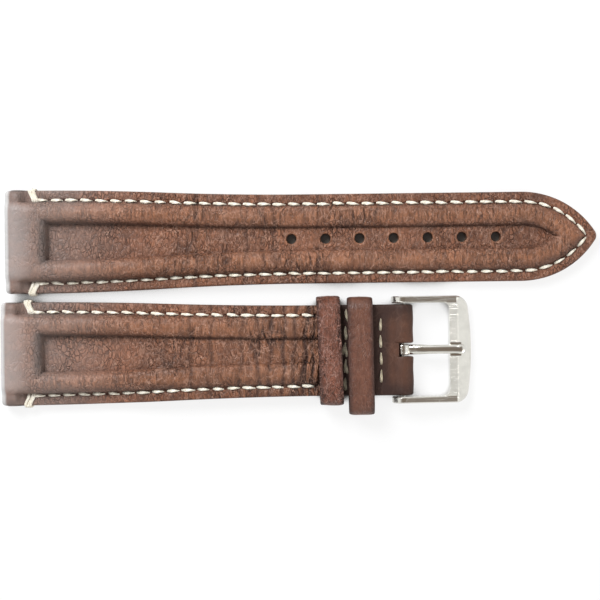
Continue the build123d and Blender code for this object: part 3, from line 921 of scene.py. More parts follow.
@dataclass(frozen=True)
class BuckleHalf(Half):
    """The half with the buckle: its ridge ends at the keepers and a flat tail follows.

    bar is the spring bar's axis in X and Z, rows the X of the two cross rows, loop the
    tail's end round the bar, with a slot for the tang.
    """

    ridge_stop: float = 61.6
    tail_start: float = 63.7
    tail_top: float = 4.5
    tail_bottom: float = 1.4
    tail_edge: float = 0.5
    tail_dark: float = 1.12
    stitch_count: int = 19
    bar: tuple[float, float] = (77.75, 2.95)
    rows: tuple[float, float] = (66.45, 73.35)
    loop_radius: float = 1.95
    loop_bore: float = 0.8
    slot_width: float = 2.6
    # they gather before the keepers, the last ones deep and slanted
    creases: tuple[tuple[float, ...], ...] = (
        (31.6, 0.02, 0.05, 0.5),
        (36.8, 0.02, 0.12, 0.42),
        (40.6, 0.04, 0.13, 0.4),
        (46.5, 0.06, 0.14, 0.4),
        (49.8, 0.02, 0.2, 0.38),
        (52.1, 0.06, 0.16, 0.35),
        (54.7, 0.04, 0.22, 0.4),
        (56.7, 0.07, 0.2, 0.36),
        (58.8, 0.08, 0.36, 0.42),
        (60.3, 0.05, 0.2, 0.35),
    )

    def ridge_end(self, x: Array) -> Array:
        """The ridge falls to nothing over its last millimetre."""
        return dome((self.ridge_stop - x) / 1.1)

    def top(self, x: Array, y: Array, inset: Array) -> Array:
        """The half's height, which steps to the tail's level where the tail starts.

        Args:
            x: distances from the lug end in millimetres.
            y: distances from the centreline in millimetres.
            inset: distances inwards from the outline in millimetres.

        Returns:
            Heights over the table.
        """
        height = super().top(x, y, inset)
        share = smooth((x - self.tail_start + 0.25) / 0.5)
        tail = self.tail_top - rim(inset, self.tail_edge) + 0.5 * self.wobble(x, y)
        tail = tail - 0.1 * self.row_grooves(x) * ramp(inset, 1.2, 0.8)
        return height * (1.0 - share) + tail * share

    def row_grooves(self, x: Array) -> Array:
        """Share of the grooves that the two cross rows press into the tail."""
        return bell(x, self.rows[0], 0.45) + bell(x, self.rows[1], 0.45)

    def values(self, x: Array, y: Array, inset: Array) -> dict[str, Array]:
        """The half's values; the tail is calm and dark, a little less so at its end.

        Args:
            x: distances from the lug end in millimetres.
            y: distances from the centreline in millimetres.
            inset: distances inwards from the outline in millimetres.

        Returns:
            Each value's name and its array.
        """
        made = super().values(x, y, inset)
        share = ramp(x, 61.3, 1.5)
        made["crest"] = made["crest"] * (1.0 - share)
        lighter = 0.25 * ramp(x, 74.2, 1.5) * ramp(inset, 0.6, 3.0)
        dark = self.tail_dark - lighter
        made["crevice"] = made["crevice"] * (1.0 - share) + dark * share
        made["crease"] = ramp(x, 22.0, 16.0) * (1.0 + 0.6 * ramp(x, 44.0, 10.0))
        made["crease"] = made["crease"] * (1.0 - share)
        made["calm"] = np.maximum(made["calm"], share)
        made["inset"] = inset + NO_SEAM * (x > 61.1)
        return made

    def seam_point(self, along: Array) -> tuple[Array, Array, Array]:
        """Seam position on the +Y side, straight along X."""
        return along, self.half_width(along) - self.seam, np.arctan(self.side_slope(along))

    def seam_places(self) -> Array:
        """Middles of the stitches along the seam, up to the keepers."""
        return self.seam_start + self.pitch() * (np.arange(self.stitch_count) + 0.5)

    def pitch(self) -> float:
        """Distance from stitch to stitch."""
        return self.stitch_pitch


OUTER_LINES = np.array(
    [0.0, 0.03, 0.1, 0.22, 0.42, 0.75, 1.1, 1.4, 1.65, 1.8, 1.95, 2.1, 2.22, 2.3, 2.33, 2.4]
    + [2.5, 2.66, 2.9, 3.25, 3.7, 4.15, 4.4, 4.65, 5.1, 5.5, 5.85, 6.1, 6.28, 6.4, 6.47, 6.5]
)
FIELD_LINES = np.array([0.84, 0.63, 0.42, 0.21, 0.0])


@dataclass
class Lines:
    """Plan of a half as a grid: stations along it and lines at set insets across it."""

    half: Half
    x: Array
    y: Array
    inset: Array
    row: Array

    @classmethod
    def straight(cls, half: Half, stations: Array) -> "Lines":
        """Lines across the straight part: y is the half width less the inset.

        Inside the raised border the lines share what is left of the half width evenly.

        Args:
            half: the half that they lie on.
            stations: distances from the lug end, one for each line.

        Returns:
            The lines, far edge first.
        """
        wide = half.half_width(stations)[:, None]
        outer = np.tile(OUTER_LINES, (len(stations), 1))
        far = np.concatenate([outer, wide - (wide - OUTER_LINES[-1]) * FIELD_LINES], axis=1)
        y = wide - far
        x = np.broadcast_to(stations[:, None], y.shape)
        row = (x - half.seam_start) / half.pitch()
        return cls(half, *mirrored(x, y, far, row))

    @classmethod
    def nose(cls, half: TipHalf, steps: int) -> "Lines":
        """Lines round the tip: arcs about the side arc's centre, closed on the centreline.

        Each line at inset d is an arc of radius R - d from the straight side to the
        centreline. Outside the nose radius r it ends on a small arc of radius r - d.

        Args:
            half: the tip half.
            steps: number of steps along the arcs.

        Returns:
            The lines, far edge first.
        """
        tail = half.end_half_width
        field_lines = tail - (tail - OUTER_LINES[-1]) * FIELD_LINES
        inset = np.concatenate([OUTER_LINES, field_lines])[None, :]
        radius = half.side_radius - inset
        reach = half.side_radius - half.nose_radius
        lean = math.acos(half.drop / reach)
        end = np.where(
            inset < half.nose_radius,
            lean,
            np.arccos(np.clip(half.drop / np.maximum(radius, half.drop), 0.0, 1.0)),
        )
        share = np.linspace(0.0, 1.0, steps + 1)[1:, None]
        angle = share * end
        x = half.turn + radius * np.sin(angle)
        y = radius * np.cos(angle) - half.drop
        small = np.clip(half.nose_radius - inset, 0.0, None)
        swing = lean + (math.pi / 2.0 - lean) * np.linspace(0.0, 1.0, 9)[1:, None]
        centre = half.length - half.nose_radius
        tip_x = np.where(small > 0.0, centre + small * np.sin(swing), x[-1:])
        tip_y = np.where(small > 0.0, small * np.cos(swing), y[-1:])
        tip_y[-1] = 0.0
        seam_radius = half.side_radius - half.seam
        seam_end = math.acos(half.drop / seam_radius)
        along = half.turn + seam_radius * seam_end * share
        row = np.broadcast_to((along - half.seam_start) / half.pitch(), angle.shape)
        row = np.concatenate([row, np.repeat(row[-1:], len(swing), axis=0)])
        x, y = np.concatenate([x, tip_x]), np.maximum(np.concatenate([y, tip_y]), 0.0)
        return cls(half, *mirrored(x, y, np.broadcast_to(inset, x.shape), row))

    def __add__(self, other: "Lines") -> "Lines":
        """These stations followed by others.

        Args:
            other: the stations that follow.

        Returns:
            All stations as one.
        """
        parts = [(self.x, other.x), (self.y, other.y), (self.inset, other.inset)]
        joined = [np.concatenate(part) for part in [*parts, (self.row, other.row)]]
        return Lines(self.half, *joined)

    def top(self) -> Array:
        """Points of the upper side."""
        return stacked(self.x, self.y, self.half.top(self.x, self.y, self.inset))

    def level(self, height: Array) -> Array:
        """Points at a height."""
        return stacked(self.x, self.y, height)

    def values(self) -> dict[str, Array]:
        """Values for the material at each point."""
        return {**self.half.values(self.x, self.y, self.inset), "row": self.row}


def mirrored(x: Array, y: Array, inset: Array, row: Array) -> list[Array]:
    """Lines from the far edge to the centre, followed by their mirror images.

    Args:
        x: distances from the lug end.
        y: distances of the far side from the centreline.
        inset: distances inwards from the outline.
        row: stitch numbers along the seam.

    Returns:
        The four arrays over the full width.
    """
    made = [np.concatenate([part, part[:, -2::-1]], axis=1) for part in (x, inset, row)]
    both = np.concatenate([y, -y[:, -2::-1]], axis=1)
    return [made[0], both, made[1], made[2]]


def sheet(shell: Shell, half: Half, top: Array, bottom: Array, values: dict[str, Array]) -> None:
    """A thick sheet: top and bottom grids over one plan, walls between, holes through.

    Args:
        shell: the shell that it is added to.
        half: the half that it belongs to, with its holes. The last station of a tip
            half is folded on the centreline and needs no wall.
        top: points of the top, (stations, lines, 3).
        bottom: points of the bottom, straight under them.
        values: values for the top's points, used for the bottom too.
    """
    keep = np.ones((top.shape[0] - 1, top.shape[1] - 1), dtype=bool)
    margin_x, margin_y = 0.72, 0.8
    for place in half.holes():
        radius = half.hole_radius
        i = np.nonzero(np.abs(top[:, 0, 0] - place) < radius + margin_x)[0][[0, -1]]
        j = np.nonzero(np.abs(top[i[0], :, 1]) < radius + margin_y)[0][[0, -1]]
        keep[i[0] : i[1], j[0] : j[1]] = False
        loop_i = np.concatenate(
            [np.arange(i[0], i[1]), np.full(j[1] - j[0], i[1])]
            + [np.arange(i[1], i[0], -1), np.full(j[1] - j[0], i[0])]
        )
        loop_j = np.concatenate(
            [np.full(i[1] - i[0], j[0]), np.arange(j[0], j[1])]
            + [np.full(i[1] - i[0], j[1]), np.arange(j[1], j[0], -1)]
        )
        high, low = top[loop_i, loop_j], bottom[loop_i, loop_j]
        middle = np.array([place, 0.0, 0.0])
        ray = (high - middle) * [1.0, 1.0, 0.0]
        ray = ray / np.linalg.norm(ray, axis=1, keepdims=True)
        up = np.array([0.0, 0.0, 1.0])
        lip = [(0.5, 0.0), (0.3, 0.01), (0.18, 0.05), (0.07, 0.13), (0.0, 0.28)]
        rows = [middle + ray * (radius + wide) + up * (high[:, 2:] - sunk) for wide, sunk in lip]
        around = np.stack([high, *rows, middle + ray * radius + up * low[:, 2:], low])
        carried = {name: value[loop_i, loop_j][None, :] for name, value in values.items()}
        # A painted highlight on the hole's rim and painted shade down its walls
        highlight_and_wear = np.array([0.0, 0.3, 0.7, 1.0, 0.8, 0.0, 0.0, 0.0])[:, None]
        carried["crest"] = carried["crest"] + highlight_and_wear
        carried["crevice"] = np.repeat([0.0, 1.0], [5, 3])[:, None]
        shell.grid(around, wrap_columns=True, **carried)
    shell.grid(top, keep=keep, **values)
    shell.grid(bottom, keep=keep, **values)
    walls = [np.s_[:, 0], np.s_[:, -1], np.s_[0], np.s_[-1]]
    for edge in walls[:3] if isinstance(half, TipHalf) else walls:
        side = {name: value[edge][:, None] for name, value in values.items()}
        shell.grid(np.stack([top[edge], bottom[edge]], axis=1), **side)


def rolled(shell: Shell, outer: Array, centre: tuple[float, float], radius: float,
           **values: Array) -> None:
    """Leather or steel rolled round a bore: a closed ring of sections.

    Args:
        shell: the shell that it is added to.
        outer: points (round the bore, across the strap, 3) of the outside.
        centre: the bore's axis in X and Z.
        radius: the bore's radius.
        **values: values for the outside's points.
    """
    middle = outer[:, outer.shape[1] // 2]
    angle = np.arctan2(middle[:, 2] - centre[1], middle[:, 0] - centre[0])[:, None]
    ends = outer[:, [-1, 0], 1]
    bore = stacked(centre[0] + radius * np.cos(angle), ends, centre[1] + radius * np.sin(angle))
    whole = {}
    for name, value in values.items():
        value = np.broadcast_to(value, outer.shape[:2])
        whole[name] = np.concatenate([value, value[:, [-1, 0]]], axis=1)
    # The bore's inside is painted in full shade
    if "crevice" in whole:
        whole["crevice"][:, -2:] = 1.0
    shell.grid(np.concatenate([outer, bore], axis=1), wrap_rows=True, wrap_columns=True, **whole)


@dataclass
class Piece:
    """A piece of one half, its finish and the CAD nodes that it stands for."""

    half: Half
    finish: bpy.types.Material
    nodes: tuple[str, ...]

    def build(self) -> bpy.types.Object:
        """Make the piece."""
        raise NotImplementedError


@dataclass
class Upper(Piece):
    """Outer leather with the filler under it, in one skin from lug end to tail or tip."""

    lug_cut: float = 4.4
    lug_bore: tuple[float, float, float] = (2.4, 2.4, 1.1)
    turned_end: float = 7.0

    def stations(self) -> Array:
        """Stations along X, close where the height changes fast.

        Returns:
            Distances from the lug end in millimetres.
        """
        turned, after = self.turned_end, self.turned_end + 0.02
        return runs(
            (self.lug_cut, 5.2, 6), (5.2, turned, 12), (turned, after, 1), (after, 9.0, 14),
            (9.0, SHARED_END, 130),
        )

    def underside(self, lines: Lines) -> Array:
        """Bottom of the leather: level on the turned end, on the lining beyond it.

        Args:
            lines: the lines across the half.

        Returns:
            Points of the bottom.
        """
        x, inset = lines.x, lines.inset
        turned = x < self.turned_end + 0.01
        groove = channel(inset, self.half.seam) * ramp(x, 5.5, 0.3)
        wrap = 0.44 * np.exp(-(((x - 5.75) / 0.72) ** 6)) * ramp(inset, 2.75, -0.15)
        turned_height = np.maximum(np.maximum(groove, wrap), rim(inset, self.half.edge))
        return np.where(turned, turned_height, self.half.lining + self.half.raised(x))

    def lug_end(self, shell: Shell) -> None:
        """The lug end rolled round the watch bar.

        Its side view runs up the cut, along the top's own height, round a half ellipse
        and back along the bottom. The stitched flange is lower, starts a little later
        and is rounded at its corner in plan.

        Args:
            shell: the shell that takes the sheet.
        """
        half, (bore_x, bore_z, bore) = self.half, self.lug_bore
        width = Lines.straight(half, np.array([self.lug_cut, self.lug_cut + 0.1]))
        y, inset = width.y[0][None, :], width.inset[0][None, :]
        share = ramp(inset, 2.0, 1.8)
        crown = half.crown + (half.plateau - half.crown) * share
        start = (0.05 + 0.7 * rim(inset, 0.8)) * (1.0 - share)
        waist = 2.0 + (bore_z - 2.0) * share
        drop = rim(inset, half.edge)
        along = np.linspace(self.lug_cut, bore_x, 9)[:, None]
        top = half.top(along, y, inset)
        level = np.linspace(0.0, 1.0, 7)[:-1, None]
        cut = drop + (top[:1] - drop) * level
        swing = np.linspace(0.0, math.pi, 41)[1:, None]
        low_crown = crown - half.flange_drop(inset)
        pull = np.where(np.cos(swing) > 0.0, low_crown - waist, waist) - drop
        arc_z = waist + pull * np.cos(swing)
        reach = bore_x - start - drop
        arc_x = bore_x - reach * np.sin(swing)
        back = np.linspace(bore_x, self.lug_cut, 8)[1:-1, None]
        join = ramp(along, bore_x, 1.2)
        top = top * join + (low_crown - drop) * (1.0 - join)
        x = [self.lug_cut + 0.0 * cut, along + 0.0 * y, arc_x, back + 0.0 * y]
        z = [cut, top, arc_z, drop + 0.0 * back]
        outer = stacked(np.concatenate(x), y, np.concatenate(z))
        made = half.values(outer[..., 0], outer[..., 1], np.broadcast_to(inset, outer.shape[:2]))
        # The painted sheen fades lower down the rolled end, and no painted shade falls where it
        # faces the lug end
        facing = ramp(outer[..., 0], 1.4, -1.1)
        made["sheen"] = made["sheen"] * (0.2 + 0.8 * ramp(outer[..., 2], 0.6, 1.2))
        made["crevice"] = made["crevice"] * (1.0 - facing)
        made["inset"] = made["inset"] + NO_SEAM
        shell.next_part()
        rolled(shell, outer, (bore_x, bore_z), bore, **made)

    def fill(self, shell: Shell) -> None:
        """Add the whole upper to the shell."""
        raise NotImplementedError

    def build(self) -> bpy.types.Object:
        """Returns:
            The finished piece.
        """
        shell = Shell("crest", "crevice", "crease", "sheen", "inset", "row", "calm")
        self.fill(shell)
        self.lug_end(shell)
        piece = shell.place(Kind.SKIN, self.half, self.finish, *self.nodes)
        return piece


@dataclass
class TipUpper(Upper):
    """The upper of the tip half."""

    def fill(self, shell: Shell) -> None:
        """One sheet from the lug cut to the nose, with its holes."""
        lines = tip_lines(self.half, self.stations())
        sheet(shell, self.half, lines.top(), lines.level(self.underside(lines)), lines.values())


@dataclass
class BuckleUpper(Upper):
    """The upper of the buckle half, with its tail and the loop round the spring bar."""

    loop_cut: float = 75.7

    def fill(self, shell: Shell) -> None:
        """One sheet to the loop, the two lobes of the loop and the block between them.

        Args:
            shell: the shell that takes them.
        """
        half: BuckleHalf = self.half
        before = runs((SHARED_END, 60.2, 25), (60.2, 61.7, 14), (61.7, 63.3, 4))
        step = runs((63.4, 64.1, 6), (64.15, 65.28, 3))
        tail = runs((65.3, self.loop_cut, 28))
        lines = Lines.straight(half, np.concatenate([self.stations()[:-1], before, step, tail]))
        x, inset, solid = lines.x, lines.inset, lines.x > TAIL_STEP
        low = np.where(solid, half.tail_bottom + rim(inset, half.tail_edge), self.underside(lines))
        groove = STITCH_DEPTH * half.row_grooves(x) * ramp(inset, 0.6, 0.5) * solid
        sheet(shell, half, lines.top(), lines.level(low + groove), lines.values())
        for side in (1.0, -1.0):
            shell.next_part()
            self.lobe(shell, side)
        shell.next_part()
        self.slot_back(shell)

    def lobe(self, shell: Shell, side: float) -> None:
        """Half of the loop.

        Its side view runs up the cut, along the tail's top, round a circle about the
        bar and back along the bottom, drawn in at the outer and the slot's edge.

        Args:
            shell: the shell that takes the lobe.
            side: 1 for the far lobe, -1 for the near one.
        """
        half: BuckleHalf = self.half
        bar_x, bar_z = half.bar
        wide = float(half.half_width(np.array(self.loop_cut)))
        inset = np.concatenate([[0.0, 0.06, 0.15, 0.3, 0.5], np.linspace(1.0, 6.6, 12)])
        from_slot = np.array([0.4, 0.2, 0.06, 0.0])
        y = np.concatenate([wide - inset, half.slot_width / 2.0 + from_slot])
        outer_rim = rim(inset, half.tail_edge)
        drop = np.concatenate([outer_rim, rim(from_slot, 0.3)])[None]
        flat = np.concatenate([outer_rim, 0.0 * from_slot])[None]
        inset = (wide - y)[None]
        swing = np.radians(np.linspace(120.0, -120.0, 49))[:, None]
        radius = half.loop_radius - drop + 0.04 * np.sin(1.3 * y) * np.cos(2.0 * swing)
        along = np.linspace(self.loop_cut, self.loop_cut + 0.55, 4)[:, None] + 0.0 * drop
        level = np.linspace(0.0, 1.0, 6)[:-1, None]
        high, low = half.tail_top - flat, half.tail_bottom + flat
        cut, back = low + (high - low) * level, along[:0:-1]
        x = np.concatenate([self.loop_cut + 0.0 * cut, along, bar_x + radius * np.cos(swing), back])
        z = np.concatenate(
            [cut, high + 0.0 * along, bar_z + radius * np.sin(swing), low + 0.0 * back]
        )
        # The tail's dark tone, less dark inwards of the edge, with a painted highlight along the
        # top of the loop
        crevice = half.tail_dark - 0.25 * ramp(inset, 0.6, 3.0)
        rolled(shell, stacked(x, side * y[None], z), half.bar, half.loop_bore, crevice=crevice,
               crest=0.25 * bell(x, bar_x, 0.9), inset=NO_SEAM, calm=1.0)

    def slot_back(self, shell: Shell) -> None:
        """The leather behind the tang's slot, hollowed to a circle round the hub.

        Args:
            shell: the shell that takes the block.
        """
        half: BuckleHalf = self.half
        bar_x, bar_z = half.bar
        hollow, reach = 1.6, 0.9
        back, lean = bar_x - reach, math.acos(-reach / hollow)
        swing = np.linspace(lean, 2.0 * math.pi - lean, 17)
        corners = [(back, half.tail_bottom), (self.loop_cut, half.tail_bottom)]
        corners += [(self.loop_cut, half.tail_top), (back, half.tail_top + 0.12)]
        arc = np.column_stack([bar_x + hollow * np.cos(swing), bar_z + hollow * np.sin(swing)])
        outline = np.concatenate([corners, arc])
        heart = np.tile([[self.loop_cut + 0.2, bar_z]], (len(outline), 1))
        gap = half.slot_width / 2.0
        rows = [(heart, -gap), (outline, -gap), (outline, gap), (heart, gap)]
        points = np.stack([stacked(part[:, 0], y, part[:, 1]) for part, y in rows])
        shell.grid(points, wrap_columns=True, crevice=0.87, inset=NO_SEAM, calm=1.0)


def tip_lines(half: TipHalf, stations: Array) -> Lines:
    """Plan of the tip half from its first stations to the nose.

    Args:
        half: the tip half.
        stations: distances along its straight part.

    Returns:
        The lines from there round the tip.
    """
    more = runs((SHARED_END, 98.3, 140), (98.3, half.turn, 5))
    straight = Lines.straight(half, np.concatenate([stations[:-1], more]))
    return straight + Lines.nose(half, 44)


@dataclass
class Lining(Piece):
    """Lining leather on the wrist side, from the turned end to the nose or the tail."""

    start: float = 7.1
    end: float = 65.2

    def build(self) -> bpy.types.Object:
        """A sheet with rounded lower edges and a channel under the seam.

        Returns:
            The finished piece.
        """
        half, tip = self.half, isinstance(self.half, TipHalf)
        first = runs((self.start, 9.0, 6), (9.0, SHARED_END, 100))
        if tip:
            lines = tip_lines(half, first)
        else:
            rest = runs((SHARED_END, self.end, 30))
            lines = Lines.straight(half, np.concatenate([first[:-1], rest]))
        x, inset = lines.x, lines.inset
        lift = half.raised(x)
        groove = channel(inset, half.seam) * (tip | (x < 61.2))
        wave = 0.03 * np.abs(np.sin(0.45 * x) * np.cos(0.5 * lines.y)) * smooth(inset - 0.5)
        low = np.maximum(groove, rim(inset, 0.3) + wave) + lift
        top = lift + half.lining - 0.04 * (inset < 0.05)
        values = lines.values()
        # Dark at the edge, painted shade along the seam's groove, lighter towards the middle
        values["crevice"] = 0.6 * smooth(1.0 - inset / 0.5) + 0.5 * bell(inset, half.seam, 0.4)
        values["crest"] = 0.3 * bell(inset, 5.0, 3.0)
        shell = Shell("crest", "crevice", "crease", "calm")
        sheet(shell, half, lines.level(top), lines.level(low), values)
        return shell.place(Kind.SHEET, half, self.finish, *self.nodes)


# ---------------------------------------------------------------- thread


def strands(centre: Array, side: Array, up: Array, radius: Array, sides: int) -> Array:
    """Tubes round given lines: centre + radius (cos a side + sin a up).

    Args:
        centre: points along each line, (lines, points, 3).
        side: direction across, same shape.
        up: direction upwards, same shape.
        radius: radius at each point, (lines, points) or broadcastable.
        sides: points round the tube.

    Returns:
        Grids (lines, points + 2, sides, 3) with both ends closed on their middle.
    """
    angle = full_turn(sides)[:, None]
    wide = np.broadcast_to(radius, centre.shape[:2])[..., None, None]
    ring = np.cos(angle) * side[:, :, None] + np.sin(angle) * up[:, :, None]
    tube = centre[:, :, None] + wide * ring
    first = np.broadcast_to(centre[:, :1, None], tube[:, :1].shape)
    last = np.broadcast_to(centre[:, -1:, None], tube[:, -1:].shape)
    return np.concatenate([first, tube, last], axis=1)


def stitch_strands(x: Array, y: Array, z: Array, heading: Array, slope: Array, length: float,
                   radius: float, down: float, seed: int, lean: float = -0.07) -> Array:
    """Stitches as plump strands whose ends dive into their needle holes.

    Along a stitch, t from -1 to 1, the height is (1 - t⁴) of the hump and the radius
    is (1 - 0.6 t²)(1 - 0.4 t) of the full one. Each is turned, shifted and sized a
    little at random.

    Args:
        x: middles of the stitches.
        y: middles of the stitches.
        z: height of the leather there.
        heading: direction along the seam, in radians from X.
        slope: rise of the leather along X.
        length: length of a stitch.
        radius: radius of the thread.
        down: 1 for the upper side, -1 for the wrist side.
        seed: seed of the unevenness.
        lean: how far each stitch is turned from the heading, in radians.

    Returns:
        Grids for Shell.grid.
    """
    rng = np.random.default_rng(seed)
    count = len(x)
    turn = heading + lean + rng.normal(0.0, 0.045, count)
    size = 1.0 + rng.normal(0.0, 0.05, count)
    t = np.array([-1.0, -0.86, -0.62, -0.3, 0.0, 0.3, 0.62, 0.86, 1.0])
    reach = 0.5 * length * size[:, None] * t
    ahead = np.stack([np.cos(turn), np.sin(turn)], axis=1)[:, None]
    flat = np.stack([x, y], axis=1)[:, None] + ahead * reach[..., None]
    flat = flat + rng.normal(0.0, 0.03, (count, 1, 2))
    hump = 0.42 * (1.0 - t**4) - 0.24
    uneven = 1.0 + rng.normal(0, 0.06, (count, 1))
    high = z[:, None] + slope[:, None] * reach + down * hump * uneven
    centre = np.concatenate([flat, high[..., None]], axis=2)
    across = np.stack([-np.sin(turn), np.cos(turn), 0.0 * turn], axis=1)
    side = np.broadcast_to(across[:, None], centre.shape) * 1.08
    up = np.broadcast_to([0.0, 0.0, 0.72], centre.shape)
    thick = radius * (1.0 - 0.6 * t**2) * (1.0 - 0.4 * t)
    thick = thick * (1.0 + rng.normal(0.0, 0.05, (count, 1)))
    return strands(centre, side, up, thick, 7)


@dataclass
class Seam(Piece):
    """Saddle stitches along both edges of a half, on top and in the channel below."""

    length: float = 2.5
    radius: float = 0.3

    def build(self) -> bpy.types.Object:
        """Lay the stitches of both sides on both faces in one mesh.

        Returns:
            The finished piece.
        """
        half = self.half
        along = half.seam_places()
        x, y, heading = half.seam_point(along)
        ends = np.stack([along - 0.05, along + 0.05])
        rise = np.diff(half.raised(ends), axis=0)[0] / 0.1
        shell = Shell()
        top = half.border + half.raised(x)
        low = half.raised(x) + 0.46
        for number, side in enumerate((1.0, -1.0)):
            turned = heading if side > 0 else -heading
            for down, level in ((1.0, top), (-1.0, low)):
                seed = half.seed * 10 + number * 2 + int(down > 0)
                grids = stitch_strands(x, side * y, level, turned, rise,
                                       self.length, self.radius, down, seed)
                shell.grid(grids, wrap_columns=True)
        return shell.place(Kind.THREAD, half, self.finish, *self.nodes)


@dataclass
class CornerWraps(Piece):
    """Doubled strands that wrap over both edges where the rows start."""

    radius: float = 0.31

    def build(self) -> bpy.types.Object:
        """Strands on a rounded path over the edge, leaning towards the lug end.

        Seen along X each path is: in from the seam at the top, out over the edge in
        a quarter circle, down, round the lower edge and in again below.

        Returns:
            The finished piece.
        """
        corner = np.radians(np.linspace(90.0, 0.0, 6))
        bend, proud, high = 0.42, 0.16, self.half.border
        way_in = np.array([7.75, 7.95, 8.5, 9.1])
        top_y = self.half.lug + proud - bend + bend * np.cos(corner)
        top_z = high + proud - bend + bend * np.sin(corner)
        under = 0.34 + bend * (1.0 - np.sin(corner[::-1]))
        path_y = np.concatenate([way_in, top_y, top_y[::-1], way_in[::-1]])
        over = high + np.array([-0.3, 0.1, 0.17, 0.16])
        path_z = np.concatenate([over, top_z, under, [0.36, 0.38, 0.44, 0.75]])
        lean = 0.75 * ramp(path_y, 7.9, 2.0)
        rng = np.random.default_rng(self.half.seed)
        lines = []
        for side in (1.0, -1.0):
            for number in range(3):
                place = 5.45 + 0.46 * number + rng.normal(0.0, 0.03)
                sway = 0.1 * np.sin(np.linspace(0.0, 5.0, len(path_y)) + 2.1 * number + side)
                off = 0.05 * np.cos(np.linspace(0.0, 7.0, len(path_y)) + 2.1 * number)
                y = side * (path_y + off)
                lines.append(stacked(place - lean + sway, y, path_z + off * 0.6))
        centre = np.stack(lines)
        ahead = np.gradient(centre, axis=1)
        ahead = ahead / np.linalg.norm(ahead, axis=2, keepdims=True)
        side = np.broadcast_to([1.0, 0.0, 0.0], centre.shape)
        up = np.cross(ahead, side)
        shell = Shell()
        shell.grid(strands(centre, side, up, self.radius, 9), wrap_columns=True)
        return shell.place(Kind.THREAD, self.half, self.finish, *self.nodes)


@dataclass
class CrossRow(Piece):
    """A row of stitches across the tail, on top and below, untidy where doubled."""

    place: float
    count: int
    doubled: bool = False
    pitch: float = 3.3
    length: float = 2.6
    radius: float = 0.27

    def build(self) -> bpy.types.Object:
        """Lay the row on both faces; a doubled row has a second, wandering thread.

        Returns:
            The finished piece.
        """
        rng = np.random.default_rng(self.count + 7)
        y = (np.arange(self.count) - (self.count - 1) / 2.0) * self.pitch
        shell = Shell()
        faces = ((1.0, self.half.tail_top - 0.06), (-1.0, self.half.tail_bottom + 0.4))
        for layer in range(2 if self.doubled else 1):
            stray = rng.normal(0.0, 0.26, self.count) if self.doubled else 0.0 * y
            x = self.place + stray + 0.2 * layer
            for down, level in faces:
                heading = np.full(self.count, math.pi / 2.0) + 0.6 * stray
                heights = np.full(self.count, level)
                grids = stitch_strands(x, y + 0.35 * layer, heights, heading, 0.0 * y,
                                       self.length, self.radius, down, 31 + layer, 0.0)
                shell.grid(grids, wrap_columns=True)
        return shell.place(Kind.THREAD, self.half, self.finish, *self.nodes)


# ---------------------------------------------------------------- keepers


@dataclass
class Keeper(Piece):
    """A leather loop round the strap."""

    body: Body
    start: float
    width: float
    span: float
    wall: float
    bottom: float
    shift: float = 0.0
    skew: float = 0.0
    wrinkle: float = 0.02
    lines: float = 0.0
    top: float = 7.0
    top_radius: float = 2.5
    bottom_radius: float = 1.3

    def path(self) -> tuple[Array, Array]:
        """Mid line of the wall: a rounded rectangle, and its outward normals.

        It runs round the four corner arcs, each followed by a straight run to the next.

        Returns:
            Points and normals, one for each station.
        """
        inner = self.wall / 2.0
        reach = self.span / 2.0 - inner
        radii = np.repeat([self.top_radius - inner, self.bottom_radius - inner], 2)
        levels = [self.top - inner - radii[0], self.bottom + inner + radii[2]]
        arcs, rays = [], []
        for number, (side, level) in enumerate(zip((1, -1, -1, 1), np.repeat(levels, 2))):
            angle = np.radians(90.0 * number + np.linspace(0.0, 90.0, 12))
            rays.append(np.column_stack([np.cos(angle), np.sin(angle)]))
            centre = np.array([side * (reach - radii[number]), level])
            arcs.append(centre + radii[number] * rays[-1])
        points, normals = [], []
        for number, (arc, ray) in enumerate(zip(arcs, rays)):
            count = 10 if number % 2 else 40
            share = np.linspace(0.0, 1.0, count)[1:-1, None]
            goal = arcs[(number + 1) % 4][0]
            points += [arc, arc[-1] + (goal - arc[-1]) * share]
            normals += [ray, np.repeat(ray[-1:], len(share), axis=0)]
        return np.concatenate(points), np.concatenate(normals)

    def build(self) -> bpy.types.Object:
        """Sweep a rounded rectangular section round the path.

        The section is a superellipse of power 2 / 0.42 that bulges by 0.05 mm; slow
        sine waves wrinkle the outside.

        Returns:
            The finished piece.
        """
        line, normal = self.path()
        bow, out = squared(full_turn(40)[None, :], 0.42)
        y, z = line[:, :1], line[:, 1:]
        across = bow * self.width / 2.0
        waves = np.sin(1.9 * y + 1.3 * across) + np.sin(3.1 * y - 2.2 * across + 1.7 * z)
        waves = waves + 0.7 * np.sin(5.3 * y + 2.9 * across)
        swell = 0.05 * (1.0 - bow**2) * (out > 0.0)
        lift = out * (self.wall / 2.0 - 0.03) + swell + self.wrinkle * waves * (out > 0.0) - 0.05
        x = self.start + self.width / 2.0 + across * 0.985 + self.skew * y
        points = stacked(x, self.shift + y + normal[:, :1] * lift, z + normal[:, 1:] * lift)
        points[..., 2] = np.maximum(points[..., 2], self.bottom)
        edge = smooth((np.abs(bow) - 0.6) / 0.4)
        shell = Shell("crest", "crevice", "crease", "sheen")
        # Painted light across the middle of the outside, painted shade at its edges and all over
        # the inside
        values = {
            "crest": 0.9 * (1.0 - bow**2) * (out > 0.0),
            "crevice": 0.8 * edge + 0.6 * (out < 0.0),
            "crease": self.lines,
        }
        shell.grid(points, wrap_rows=True, wrap_columns=True, **values)
        return shell.place(Kind.LOOP, self.half, self.finish, *self.nodes, body=self.body)


